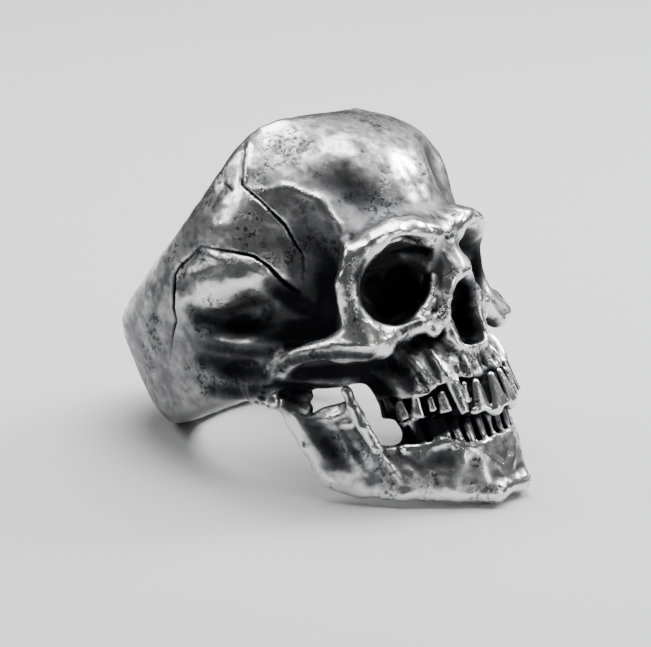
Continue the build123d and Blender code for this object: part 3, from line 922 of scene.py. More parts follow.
@dataclass
class Relief:
    """What is carved and joined on over the plain skull, on both sides unless it says otherwise.

    Attributes:
        temple: strokes of the temple, with its cracks, given in the photograph's view.
        brow: strokes of the forehead and the brow.
        face: strokes round the nose and of the cheek.
        jaws: strokes of both jaws and the roots of the teeth.
        bones: ends, ring mm, and radii of thin bones: the jaw's hinge, its plate's edges and forward
            point, the web under the cheek arch, the rim under the eye and the nose's walls.
        melt: how far a bone flows into the skull, mm.
        nostril: ends, ring mm, and radii of the lengths that open the nose.
        nostril_depth: how many times deeper than wide they are.
        nostril_lip: how softly the opening's edge turns, mm.
        pushes: shoves of one side or the other, as in hand work.
    """

    temple: tuple[Stroke, ...] = (
        Stroke(((205, 276, 1.0), (240, 274, 1.0)), 1.5, 0.22, reach=2.0),
        Stroke(((188, 272, 0.8), (205, 256, 1.0), (240, 261, 1.0), (262, 276, 0.8)), 0.45, 0.16),
        Stroke(((188, 311, 0.7), (222, 320, 1.0), (262, 320, 1.0), (300, 318, 0.8)), 1.0, -0.4, reach=2.0),
        Stroke(((208, 364, 0.8), (229, 366, 1.0), (256, 364, 0.9)), 0.8, -0.4, reach=2.0),
        Stroke(((204, 340, 0.8), (246, 346, 1.0), (262, 350, 0.7)), 0.5, 0.12),
        Stroke(((250, 190, 0.5), (290, 187, 0.8), (320, 200, 1.0), (340, 225, 1.0), (347, 250, 1.0),
                (345, 270, 1.0), (334, 290, 0.8)), 0.45, 0.2),
        Stroke(((300, 215, 0.6), (318, 240, 1.0), (324, 270, 1.0), (322, 300, 1.0), (318, 325, 0.8)),
               1.3, -0.4, reach=2.0),
        Stroke(((201, 246, 0.6), (220, 250, 0.7), (240, 253, 0.8), (254, 256, 0.9), (269, 266, 1.1),
                (283, 281, 1.3), (296, 291, 1.9)), 0.15, -0.5, Cut.VEE),
        Stroke(((201, 246, 0.6), (193, 254, 0.8), (180, 266, 1.0), (175, 274, 1.1), (174, 294, 1.6),
                (173, 307, 1.2), (176, 321, 0.8), (173, 333, 0.7), (170, 359, 0.4)), 0.15, -0.45, Cut.VEE),
        Stroke(((247, 145, 0.7), (244, 165, 0.8), (242, 185, 1.1), (260, 200, 0.9), (285, 225, 0.9),
                (297, 246, 0.9), (304, 256, 0.8), (305, 267, 0.7), (304, 280, 0.5)), 0.13, -0.42, Cut.VEE),
        Stroke(((224, 183, 0.8), (233, 191, 0.8)), 0.12, -0.35, Cut.VEE),
        Stroke(((251, 147, 0.8), (248, 168, 1.0), (246, 182, 0.8)), 0.28, 0.16),
        Stroke(((179, 321, 0.6), (197, 349, 1.0), (211, 373, 1.0), (217, 397, 0.8)), 0.35, -0.12),
    )
    brow: tuple[Stroke, ...] = (
        Stroke(((328, 182, 0.7), (346, 189, 1.0), (362, 204, 1.0), (372, 222, 0.7)), 1.5, -0.45, reach=2.0),
        Stroke(((412, 168, 0.6), (428, 184, 1.0), (436, 200, 0.7)), 1.1, -0.18, reach=2.0),
        Stroke(((392, 240, 0.8), (404, 238, 1.0), (416, 243, 0.8)), 0.2, -0.35),
        Stroke(((403, 254, 0.8), (416, 252, 1.0), (428, 256, 0.9)), 0.55, -0.8),
        Stroke(((366, 246, 0.7), (380, 236, 1.0), (400, 231, 1.0), (430, 235, 0.8)), 0.45, 0.18),
        Stroke(((430, 213, 0.7), (438, 222, 1.0), (446, 231, 0.7)), 0.14, -0.16, Cut.VEE),
        Stroke(((421, 215, 0.6), (428, 226, 0.8), (440, 232, 0.6)), 0.14, -0.12, Cut.VEE),
        Stroke(((446, 236, 0.9), (452, 239, 0.9)), 0.22, -0.3),
    )
    face: tuple[Stroke, ...] = (
        Stroke(((357, 296, 0.9), (357, 278, 1.0), (362, 264, 0.8)), 0.35, 0.10),
        Stroke(((424, 276, 0.8), (425, 290, 1.0), (421, 303, 0.8)), 0.28, -0.5),
        Stroke(((443, 250, 0.7), (452, 266, 1.0), (462, 274, 1.0)), 0.35, 0.18),
        Stroke(((466, 279, 0.8), (456, 290, 1.0), (447, 301, 1.0), (447, 318, 0.8)), 0.28, 0.2),
        Stroke(((452, 340, 0.8), (463, 347, 1.0), (478, 346, 0.8)), 0.3, 0.18),
        Stroke(((333, 343, 0.7), (352, 346, 1.0), (375, 346, 1.0), (391, 338, 0.7)), 0.35, 0.18),
        Stroke(((410, 340, 1.0), (420, 345, 0.8)), 0.5, -0.3),
    )
    jaws: tuple[Stroke, ...] = (
        Stroke(((431, 349, 0.8), (440, 366, 1.0), (448, 378, 1.1), (454, 388, 1.1)), 0.30, 0.34),
        Stroke(((404, 349, 0.7), (417, 364, 1.0), (428, 380, 1.0), (439, 391, 0.9)), 0.26, 0.26),
        Stroke(((414, 380, 0.7), (422, 388, 1.0), (430, 396, 0.8)), 0.2, 0.18),
        Stroke(((463, 354, 0.6), (468, 366, 1.0), (472, 378, 1.0)), 0.2, 0.24),
        Stroke(((484, 352, 0.6), (488, 364, 1.0), (489, 375, 1.0)), 0.2, 0.22),
        Stroke(((455, 364, 0.8), (460, 374, 0.8)), 0.3, -0.3),
        Stroke(((474, 363, 0.8), (477, 372, 0.8)), 0.25, -0.28),
        Stroke(((482, 360, 0.8), (483, 368, 0.8)), 0.2, -0.22),
        Stroke(((387, 358, 0.8), (398, 372, 1.0), (408, 386, 0.8)), 0.55, -0.4),
        Stroke(((417, 393, 0.8), (429, 396, 1.0), (440, 392, 1.0), (451, 387, 1.0), (459, 381, 1.0),
                (474, 380, 1.0), (484, 376, 1.0), (496, 370, 1.0)), 0.16, 0.14),
        Stroke(((399, 447, 0.8), (415, 445, 1.0), (423, 447, 1.0), (437, 441, 1.0), (446, 438, 1.0),
                (454, 442, 1.0), (466, 444, 1.0), (474, 445, 1.0), (483, 440, 1.0), (497, 435, 1.0),
                (509, 432, 0.8)), 0.18, 0.2),
        Stroke(((430, 462, 0.8), (440, 458, 1.0), (452, 460, 0.7)), 0.8, -0.28),
        Stroke(((459, 355, 0.6), (463, 366, 1.0), (467, 376, 0.8)), 0.22, -0.25),
        Stroke(((477, 350, 0.6), (480, 360, 1.0), (483, 368, 0.7)), 0.2, -0.2),
        Stroke(((423, 351, 0.6), (433, 366, 1.0), (441, 380, 0.8)), 0.3, -0.25),
        Stroke(((446, 352, 0.6), (454, 362, 0.8), (458, 374, 0.6)), 0.16, 0.14),
        Stroke(((410, 362, 0.6), (420, 376, 1.0), (428, 388, 0.7)), 0.25, -0.2),
        Stroke(((364, 426, 0.7), (377, 449, 1.0), (391, 466, 1.0), (401, 482, 0.7)), 0.35, 0.2),
        Stroke(((396, 452, 0.8), (412, 462, 1.0), (424, 474, 0.7)), 0.6, -0.25),
        Stroke(((488, 455, 0.6), (503, 469, 1.0), (520, 478, 0.8)), 0.5, 0.18),
        Stroke(((322, 424, 0.8), (336, 446, 1.0), (350, 468, 0.8)), 0.7, -0.25),
    )
    bones: tuple[tuple[tuple[Triple, Triple], tuple[float, float]], ...] = (
        (((11.25, 3.2, 0.2), (10.6, 3.2, 0.1)), (0.66, 0.6)),
        (((10.6, 3.3, -0.1), (10.4, 4.3, -1.6)), (0.42, 0.6)),
        (((10.4, 4.3, -1.6), (10.3, 4.9, -3.4)), (0.6, 0.7)),
        (((10.35, 4.4, -2.0), (10.05, 6.9, -2.85)), (0.5, 0.45)),
        (((10.05, 6.9, -2.85), (9.7, 8.7, -2.95)), (0.45, 0.42)),
        (((10.2, 4.9, -3.1), (9.9, 8.4, -3.7)), (0.55, 0.5)),
        (((9.75, 9.05, -1.3), (9.75, 9.1, -1.5)), (0.42, 0.40)),
        (((9.75, 9.08, -1.5), (9.85, 9.14, -2.6)), (0.36, 0.44)),
        (((9.85, 9.14, -2.6), (9.8, 9.2, -4.3)), (0.44, 0.48)),
        (((9.8, 9.2, -4.3), (9.4, 9.2, -6.3)), (0.48, 0.40)),
        (((10.45, 4.2, -2.0), (10.4, 4.9, -4.2)), (0.55, 0.6)),
        (((10.4, 4.9, -4.2), (10.3, 5.6, -5.6)), (0.6, 0.6)),
        (((9.6, 3.2, 1.3), (9.3, 5.9, 0.7)), (0.9, 0.8)),
        (((6.5, 13.1, 1.15), (4.9, 13.55, 1.35)), (0.5, 0.5)),
        (((4.9, 13.55, 1.35), (3.5, 14.2, 2.0)), (0.5, 0.5)),
        (((3.5, 14.2, 2.0), (2.4, 14.7, 2.9)), (0.5, 0.45)),
        (((2.4, 14.7, 2.9), (1.8, 14.95, 4.1)), (0.45, 0.4)),
        (((5.4, 13.2, 0.9), (3.5, 14.1, 1.1)), (0.6, 0.7)),
        (((3.3, 14.1, 0.5), (2.3, 14.9, 1.4)), (0.7, 0.6)),
        (((1.95, 13.2, 1.6), (2.0, 14.5, 1.3)), (0.45, 0.45)),
        (((1.95, 13.2, 0.6), (2.0, 14.6, 0.4)), (0.5, 0.5)),
        (((1.95, 13.2, -0.3), (2.0, 14.6, -0.5)), (0.5, 0.5)),
        (((10.3, 3.7, -0.2), (10.1, 5.1, -1.3)), (0.6, 0.55)),
        (((9.9, 3.9, 0.5), (9.8, 5.3, -0.4)), (0.65, 0.6)),
    )
    melt: float = 0.22
    nostril: tuple[tuple[tuple[Triple, Triple], tuple[float, float]], ...] = (
        (((0.25, 16.9, 2.3), (0.8, 16.0, 0.9)), (0.35, 0.8)),
        (((0.8, 16.0, 0.9), (0.8, 15.3, -0.9)), (0.8, 0.95)),
        (((0.0, 15.6, 1.1), (0.0, 15.0, -0.9)), (0.7, 0.9)),
    )
    nostril_depth: float = 2.2
    nostril_lip: float = 0.25
    pushes: tuple[Push, ...] = (
        Push((4.5, 8.6, 20.2), (3.6, 2.6, 2.4), (0.1, -0.1, 0.5)),
        Push((-4.5, 9.5, 19.6), (3.0, 2.2, 2.2), (0.1, -0.15, -0.45)),
        Push((-7.6, 11.8, 14.0), (2.6, 2.6, 3.0), (-0.7, 0.95, -0.5)),
        Push((-7.3, 15.1, 8.3), (2.4, 2.4, 2.0), (0.3, -0.5, -1.9)),
        Push((-9.6, 12.8, 4.6), (1.9, 2.3, 2.6), (0.8, -1.0, 0.4)),
        Push((-8.9, 13.1, 1.4), (2.4, 2.6, 3.0), (0.3, -0.45, -2.0)),
        Push((0.0, -12.5, 2.0), (8.0, 3.0, 5.0), (0.0, -0.4, 0.0)),
    )

    def carve(self, clay: Clay, sight: Sight) -> None:
        """Lays the strokes that both sides share.

        Args:
            clay: the casting.
            sight: the view that the strokes are given in.
        """
        for region in (self.temple, self.brow, self.face, self.jaws):
            for stroke in region:
                clay.draw(sight, stroke)

    def open_nose(self, clay: Clay) -> None:
        """Cuts the nose's opening, narrow under the bone and broad at the foot.

        Args:
            clay: the casting.
        """
        for ends, radii in self.nostril:
            window = clay.around(ends, (3.0, 3.5, 2.0))
            opening = rod(clay.axes(window), ends, radii, (1.0, self.nostril_depth, 1.0))
            clay.take_out(window, opening, self.nostril_lip)

    def join_bones(self, clay: Clay) -> None:
        """Joins the thin bones to the skull.

        Args:
            clay: the casting.
        """
        for ends, radii in self.bones:
            window = clay.around(ends, 1.4)
            clay.melt_in(window, rod(clay.axes(window), ends, radii), self.melt)

    def unsettle(self, clay: Clay) -> None:
        """Moves what sits differently on the two sides, as in hand work.

        Args:
            clay: the casting.
        """
        for push in self.pushes:
            clay.push(push)


@dataclass
class WearAndPaintedLight:
    """Where the oxide and painted shade lie and where the silver is worn off bright or painted with
    highlights, given in the photograph's view.

    Attributes:
        black: patches of oxide and of painted shade.
        bright: patches worn to bare silver, and painted highlights.
        painted_shade_spots: middles and radii of black places that the photograph does not show, painted
            shade on the web under the cheek arch, ring mm.
        carved: how deep a cut is where black starts in it, and over how much more it is full, mm.
        off_finger: how far from the finger's middle that starts, and over how much more it is full, mm.
        far_edge: how far to the far side cuts are blackened, ring mm.
    """

    # Oxide in the hollows and painted shade: dark painted under the cheek arch, in the eyes, the nose and the
    # mouth, and in the forehead's dent.
    black: tuple[Patch, ...] = (
        Patch(((316, 245, 0.5), (328, 270, 0.85), (328, 300, 1.0), (322, 325, 1.0)), 1.6),
        Patch(((200, 318, 0.7), (240, 326, 0.85), (285, 332, 0.95), (320, 328, 1.0)), 1.25),
        Patch(((205, 360, 0.65), (232, 370, 0.85), (262, 374, 0.75)), 1.15),
        Patch(((214, 390, 0.7), (240, 392, 0.75), (264, 388, 0.7)), 0.8),
        Patch(((270, 286, 0.5), (288, 298, 0.85), (304, 306, 1.0)), 1.1),
        Patch(((296, 224, 0.3), (310, 238, 0.5), (318, 255, 0.7)), 1.0),
        Patch(((298, 374, 1.0), (330, 372, 1.0), (358, 370, 1.0), (380, 364, 1.0)), 0.85),
        Patch(((278, 384, 0.9), (300, 386, 1.0), (330, 388, 1.0), (360, 388, 1.0), (384, 390, 0.9)), 0.7),
        Patch(((276, 372, 0.5), (290, 362, 0.65), (312, 357, 0.65), (340, 355, 0.65), (370, 356, 0.65)), 0.5),
        Patch(((200, 345, 0.5), (225, 350, 0.7), (250, 353, 0.8), (268, 352, 0.7)), 0.8),
        Patch(((286, 392, 1.0), (300, 396, 1.0), (314, 398, 0.9)), 0.8),
        Patch(((470, 240, 1.0), (478, 248, 1.0), (484, 262, 1.0)), 1.3),
        Patch(((476, 262, 1.0), (481, 275, 1.0)), 0.8),
        Patch(((366, 376, 1.0), (376, 386, 1.0), (388, 392, 0.8)), 0.9),
        Patch(((388, 360, 0.8), (402, 372, 0.8), (410, 384, 0.6)), 0.7),
        Patch(((400, 347, 0.7), (412, 342, 0.9), (420, 341, 0.6)), 0.45),
        Patch(((402, 330, 0.5), (420, 323, 0.6)), 0.35),
        Patch(((385, 290, 1.0), (402, 275, 1.0), (410, 290, 1.0), (388, 308, 1.0), (374, 285, 1.0)), 1.6),
        Patch(((394, 252, 0.9), (412, 250, 1.0), (428, 253, 0.9)), 0.55),
        Patch(((462, 288, 1.0), (462, 315, 1.0), (468, 335, 1.0)), 1.1),
        Patch(((262, 398, 0.9), (264, 387, 0.9), (277, 385, 0.9), (290, 390, 0.9), (290, 404, 0.8)), 0.35),
        Patch(((312, 425, 0.5), (324, 440, 0.7), (336, 462, 0.6)), 1.0),
        Patch(((340, 425, 0.5), (352, 450, 0.6), (366, 470, 0.4)), 0.5),
        Patch(((430, 462, 0.5), (440, 459, 0.7), (452, 461, 0.45)), 0.75),
        Patch(((286, 284, 0.8), (297, 292, 1.0)), 0.4),
        Patch(((328, 182, 0.45), (345, 186, 0.6), (360, 202, 0.55), (371, 222, 0.35)), 1.15),
        Patch(((463, 428, 0.45), (476, 425, 0.4), (491, 420, 0.4), (505, 418, 0.4)), 0.7),
        Patch(((425, 282, 0.8), (424, 300, 0.8)), 0.22),
        Patch(((364, 262, 0.5), (357, 276, 0.7), (358, 294, 0.6)), 0.35),
        Patch(((492, 255, 0.8), (494, 270, 0.8)), 0.5),
    )
    # Bare silver and painted highlights: bright painted on the cheek arch's ridge, the brow, the temple, the
    # chin, the crowns and the forehead.
    bright: tuple[Patch, ...] = (
        Patch(((264, 371, 0.8), (277, 360, 1.0), (290, 350, 1.0), (310, 345, 1.0), (330, 340, 1.0),
               (352, 345, 1.0), (375, 344, 1.0), (390, 337, 0.9)), 0.3),
        Patch(((364, 250, 0.7), (384, 239, 1.0), (410, 232, 1.0), (440, 235, 0.9)), 0.4),
        Patch(((190, 270, 0.8), (212, 263, 1.0), (240, 267, 0.9)), 0.45),
        Patch(((484, 452, 0.7), (498, 462, 0.9), (508, 472, 1.0), (518, 479, 1.0)), 0.7),
        Patch(((503, 400, 0.9), (498, 390, 0.7)), 0.4),
        Patch(((484, 404, 0.9), (480, 393, 0.7)), 0.35),
        Patch(((464, 408, 0.9), (458, 394, 0.9), (450, 380, 0.8), (440, 365, 0.7)), 0.3),
        Patch(((446, 409, 0.9), (444, 401, 0.8)), 0.3),
        Patch(((417, 413, 0.9), (416, 405, 0.8)), 0.3),
        Patch(((404, 487, 0.8), (440, 490, 1.0), (480, 487, 0.9)), 0.35),
        Patch(((347, 391, 1.0), (353, 404, 0.8)), 0.3),
        Patch(((276, 398, 1.0), (278, 400, 1.0)), 0.6),
        Patch(((341, 308, 0.7), (352, 324, 0.8), (368, 335, 0.7)), 0.5),
        Patch(((395, 150, 0.6), (412, 165, 0.7), (425, 190, 0.6)), 1.3),
    )
    # Painted shade: black painted on the web in the shadow under the cheek arch.
    painted_shade_spots: tuple[tuple[Triple, float], ...] = (((9.8, 4.7, -0.1), 1.35), ((9.6, 5.6, 0.7), 1.1))
    carved: Range = (0.22, 0.4)
    off_finger: Range = (10.1, 0.3)
    far_edge: float = -1.0

    def paint(self, clay: Clay, sight: Sight, teeth: Teeth, points: np.ndarray) -> dict[str, np.ndarray]:
        """Strength of black, oxide and painted shade, and of polish and painted highlights at points.

        Args:
            clay: the worked clay.
            sight: the view that the patches are given in.
            teeth: the teeth, which have oxide and painted shade between them.
            points: ring points in mm.

        Returns:
            Values by attribute name.
        """
        cut = rise(-clay.read(clay.calm, points), *self.carved)
        cut = cut * rise(np.hypot(points[:, 0], points[:, 1]), *self.off_finger)
        # Painted shade and oxide from the black patches and the mouth, oxide in the cuts, and painted shade
        # on the web under the cheek arch.
        black = np.maximum(clay.patch_strength(sight, self.black, points), teeth.shade(points))
        black = np.maximum(black, cut * (points[:, 0] > self.far_edge))
        for spot, radius in self.painted_shade_spots:
            gap = (np.abs(points[:, 0]) - spot[0]) ** 2 + ((points[:, 1:] - spot[1:]) ** 2).sum(1)
            black = np.maximum(black, np.exp(-gap / radius ** 2))
        return {"oxide_and_painted_shade": black, "polish_and_painted_highlight": clay.patch_strength(sight, self.bright, points)}


@dataclass
class Casting:
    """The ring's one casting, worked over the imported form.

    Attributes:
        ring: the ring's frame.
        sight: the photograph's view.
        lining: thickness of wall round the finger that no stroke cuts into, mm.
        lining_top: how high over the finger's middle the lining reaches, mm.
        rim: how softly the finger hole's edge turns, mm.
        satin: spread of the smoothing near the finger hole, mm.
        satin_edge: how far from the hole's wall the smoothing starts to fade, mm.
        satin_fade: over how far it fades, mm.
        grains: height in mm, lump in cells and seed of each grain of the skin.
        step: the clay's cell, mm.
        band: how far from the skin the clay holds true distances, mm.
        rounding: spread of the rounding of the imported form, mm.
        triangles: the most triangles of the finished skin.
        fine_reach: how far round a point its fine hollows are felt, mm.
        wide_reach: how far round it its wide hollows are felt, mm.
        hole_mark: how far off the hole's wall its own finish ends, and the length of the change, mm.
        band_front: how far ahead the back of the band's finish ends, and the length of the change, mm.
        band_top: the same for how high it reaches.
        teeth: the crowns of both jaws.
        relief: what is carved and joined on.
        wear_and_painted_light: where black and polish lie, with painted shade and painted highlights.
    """

    ring: RingFrame
    sight: Sight
    lining: float = 0.7
    lining_top: float = 16.5
    rim: float = 0.3
    satin: float = 0.25
    satin_edge: float = 0.21
    satin_fade: float = 0.7
    grains: tuple[tuple[float, int, int], ...] = ((0.035, 9, 3), (0.018, 4, 5), (0.012, 2, 7))
    step: float = 0.125
    band: float = 1.8
    rounding: float = 0.22
    triangles: int = 192000
    fine_reach: float = 0.25
    wide_reach: float = 0.7
    hole_mark: Range = (0.35, -0.2)
    band_front: Range = (3.0, -5.0)
    band_top: Range = (13.5, -4.0)
    teeth: Teeth = field(default_factory=Teeth)
    relief: Relief = field(default_factory=Relief)
    wear_and_painted_light: WearAndPaintedLight = field(default_factory=WearAndPaintedLight)

    def smooth_form(self, node: bpy.types.Object) -> tuple[np.ndarray, np.ndarray]:
        """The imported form, merged and rounded off its facets.

        Args:
            node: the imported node.

        Returns:
            Ring points in mm and rows of three point numbers.
        """
        form = bmesh.new()
        form.from_mesh(node.data)
        bmesh.ops.remove_doubles(form, verts=form.verts, dist=1e-7)
        mesh = bpy.data.meshes.new("form")
        form.to_mesh(mesh)
        form.free()
        copy = bpy.data.objects.new("form", mesh)
        bpy.context.scene.collection.objects.link(copy)
        rounding = copy.modifiers.new("rounding", "SUBSURF")
        rounding.levels = 1
        rounding.render_levels = 1
        shaped = copy.evaluated_get(bpy.context.evaluated_depsgraph_get()).to_mesh()
        points = self.ring.inward(gather(shaped, "co"))
        shaped.calc_loop_triangles()
        corners = np.empty(len(shaped.loop_triangles) * 3, np.int32)
        shaped.loop_triangles.foreach_get("vertices", corners)
        bpy.data.objects.remove(copy)
        bpy.data.meshes.remove(mesh)
        return points, corners.reshape(-1, 3)

    def shape(self, node: bpy.types.Object) -> Clay:
        """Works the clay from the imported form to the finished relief.

        Args:
            node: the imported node.

        Returns:
            The worked clay.
        """
        points, corners = self.smooth_form(node)
        clay = Clay(points, corners, self.step, self.band)
        clay.soften(self.rounding)
        clay.keep_calm()
        self.relief.join_bones(clay)
        self.relief.open_nose(clay)
        self.relief.carve(clay, self.sight)
        self.teeth.clear(clay, self.sight)
        self.teeth.set_in(clay, self.sight)
        clay.mirror()
        self.relief.unsettle(clay)
        self.bore(clay)
        self.roughen(clay)
        return clay

    def off_finger(self, clay: Clay) -> np.ndarray:
        """How far outside the finger hole's wall the clay's cells lie, mm."""
        side, ahead, _ = clay.axes(clay.whole())
        return np.sqrt(side ** 2 + ahead ** 2) - self.ring.finger

    def bore(self, clay: Clay) -> None:
        """Cuts the finger hole clean again, with an unbroken wall.

        Args:
            clay: the casting.
        """
        window = clay.whole()
        up = clay.axes(window)[2]
        reach = self.off_finger(clay)
        lining = np.maximum(np.maximum(clay.cast, reach - self.lining), up - self.lining_top)
        clay.depth = np.minimum(clay.depth, lining)
        clay.take_out(window, reach + 0.0 * up, self.rim)

    def roughen(self, clay: Clay) -> None:
        """Gives the casting its grain, and keeps the finger hole's wall and rim smooth.

        Args:
            clay: the casting.
        """
        away = rise(np.abs(self.off_finger(clay)), self.satin_edge, self.satin_fade)
        rounded = spread(clay.depth, self.satin / clay.step)
        clay.depth = rounded + (clay.depth - rounded) * away
        for height, cell, seed in self.grains:
            clay.depth += height * away * grain(clay.depth.shape, cell, seed)

    def skin(self, clay: Clay) -> bpy.types.Object:
        """The clay's skin as a smooth mesh, with its worn finish and its painted shade and highlights as
        attributes.

        Args:
            clay: the worked clay.

        Returns:
            The piece.
        """
        points, quads = clay.polygons()
        mesh = bpy.data.meshes.new("skull_ring_dressed")
        mesh.from_pydata(self.ring.outward(points), [], quads)
        piece = bpy.data.objects.new("skull_ring_dressed", mesh)
        bpy.context.scene.collection.objects.link(piece)
        thin = piece.modifiers.new("thin", "DECIMATE")
        thin.ratio = min(1.0, self.triangles / (2.0 * len(quads)))
        shaped = bpy.data.meshes.new_from_object(
            piece.evaluated_get(bpy.context.evaluated_depsgraph_get()))
        piece.modifiers.clear()
        piece.data = shaped
        bpy.data.meshes.remove(mesh)
        shaped.name = "skull_ring_dressed"
        shaped.polygons.foreach_set("use_smooth", [True] * len(shaped.polygons))
        self.mark_wear_and_painted_light(clay, shaped)
        return piece

    def silver_round(self, clay: Clay, points: np.ndarray, thin: int, radius: float) -> np.ndarray:
        """How much of the space round each point is silver.

        Args:
            clay: the worked clay.
            points: ring points in mm.
            thin: how many cells a side are taken together.
            radius: spread of the space looked at, mm.

        Returns:
            Shares, nought to one.
        """
        solid = np.clip(0.5 - clay.depth / clay.step * 0.5, 0.0, 1.0)
        part = [length // thin for length in solid.shape]
        solid = solid[tuple(slice(0, length * thin) for length in part)]
        coarse = solid.reshape(part[0], thin, part[1], thin, part[2], thin).mean((1, 3, 5))
        blurred = spread(coarse, radius / (clay.step * thin))
        shift = clay.step * (thin - 1) / 2
        return clay.read(blurred, points - shift, clay.step * thin)

    def mark_wear_and_painted_light(self, clay: Clay, mesh: bpy.types.Mesh) -> None:
        """Stores what the finish asks of each point: how sunken, open, black and bright it is, and where, the
        black with painted shade and the bright with painted highlights.

        Args:
            clay: the worked clay.
            mesh: the skin.
        """
        points = self.ring.inward(gather(mesh, "co"))
        near, far = clay.openness(points, gather(mesh, "normal") @ self.ring.turn.T)
        wall = np.hypot(points[:, 0], points[:, 1]) - self.ring.finger
        marks = {
            "fine_recess": self.silver_round(clay, points, 1, self.fine_reach),
            "recess": self.silver_round(clay, points, 2, self.wide_reach),
            "near_open": near,
            "far_open": far,
            "inside": rise(wall, *self.hole_mark),
            "band": rise(points[:, 1], *self.band_front) * rise(points[:, 2], *self.band_top),
            **self.wear_and_painted_light.paint(clay, self.sight, self.teeth, points),
        }
        for name, values in marks.items():
            layer = mesh.attributes.new(name, "FLOAT", "POINT")
            layer.data.foreach_set("value", values.astype(np.float32))

    def build(self, node: bpy.types.Object) -> bpy.types.Object:
        """Makes the dressed casting.

        Args:
            node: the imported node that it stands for.

        Returns:
            The piece.
        """
        piece = self.skin(self.shape(node))
        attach(piece, "root")
        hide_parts("skull_ring")
        piece.data.materials.clear()
        piece.data.materials.append(AntiqueSilver().material())
        return piece


class Nodes:
    """A short hand for wiring a material."""

    def __init__(self, name: str) -> None:
        """Starts an empty node material.

        Args:
            name: the material's name.
        """
        self.material = bpy.data.materials.new(name)
        self.material.use_nodes = True
        self.tree = self.material.node_tree
        self.tree.nodes.clear()

    def add(self, kind: str, inputs: dict | None = None, **settings: object) -> bpy.types.Node:
        """Adds a node.

        Args:
            kind: the node's type.
            inputs: sockets to set or to link, by name or number.
            **settings: the node's own settings.

        Returns:
            The node.
        """
        node = self.tree.nodes.new(kind)
        for name, value in settings.items():
            setattr(node, name, value)
        for name, value in (inputs or {}).items():
            if isinstance(value, bpy.types.NodeSocket):
                self.tree.links.new(value, node.inputs[name])
            else:
                node.inputs[name].default_value = value
        return node

    def math(self, operation: str, first: object, second: object = 0.0,
             third: object = 0.0) -> bpy.types.NodeSocket:
        """Reckons with two or three values.

        Args:
            operation: what is done with them.
            first: a number or a socket.
            second: a number or a socket.
            third: a number or a socket, where the operation takes three.

        Returns:
            The outcome.
        """
        return self.add("ShaderNodeMath", {0: first, 1: second, 2: third}, operation=operation).outputs[0]

    def product(self, *values: object) -> bpy.types.NodeSocket:
        """Values multiplied together."""
        return reduce(lambda first, second: self.math("MULTIPLY", first, second), values)

    def most(self, *values: object) -> bpy.types.NodeSocket:
        """The greatest of some values."""
        return reduce(lambda first, second: self.math("MAXIMUM", first, second), values)

    def left(self, share: object) -> bpy.types.NodeSocket:
        """What a share leaves of one."""
        return self.math("SUBTRACT", 1.0, share)

    def ramp(self, value: bpy.types.NodeSocket, low: float, high: float, start: float = 0.0,
             end: float = 1.0) -> bpy.types.NodeSocket:
        """Stretches a value's range smoothly to another range.

        Args:
            value: the value.
            low: where its range starts.
            high: where its range ends.
            start: what it is at the start and before.
            end: what it is at the end and past it.

        Returns:
            The new value.
        """
        node = self.add("ShaderNodeMapRange",
                        {"Value": value, "From Min": low, "From Max": high, "To Min": start, "To Max": end},
                        interpolation_type="SMOOTHSTEP", clamp=True)
        return node.outputs["Result"]

    def noise(self, place: bpy.types.NodeSocket, scale: float, detail: float,
              roughness: float) -> bpy.types.NodeSocket:
        """Makes noise.

        Args:
            place: where on the piece.
            scale: lumps to a metre.
            detail: how many finer layers lie over them.
            roughness: how strong these are.

        Returns:
            Values about a half.
        """
        node = self.add("ShaderNodeTexNoise", {"Vector": place, "Scale": scale, "Detail": detail,
                                               "Roughness": roughness})
        return node.outputs["Fac"]

    def mark(self, name: str) -> bpy.types.NodeSocket:
        """One of the piece's own attributes."""
        return self.add("ShaderNodeAttribute", attribute_name=name).outputs["Fac"]

    def blend(self, share: bpy.types.NodeSocket, first: object, last: object) -> bpy.types.NodeSocket:
        """A colour between two colours, nearer to the last as the share grows."""
        return self.add("ShaderNodeMix", {0: share, 6: first, 7: last}, data_type="RGBA").outputs[2]

    def surface(self, inputs: dict) -> bpy.types.Material:
        """Ends the material in its surface.

        Args:
            inputs: the surface's sockets to set or to link.

        Returns:
            The material.
        """
        shader = self.add("ShaderNodeBsdfPrincipled", inputs)
        self.add("ShaderNodeOutputMaterial", {"Surface": shader.outputs[0]})
        return self.material


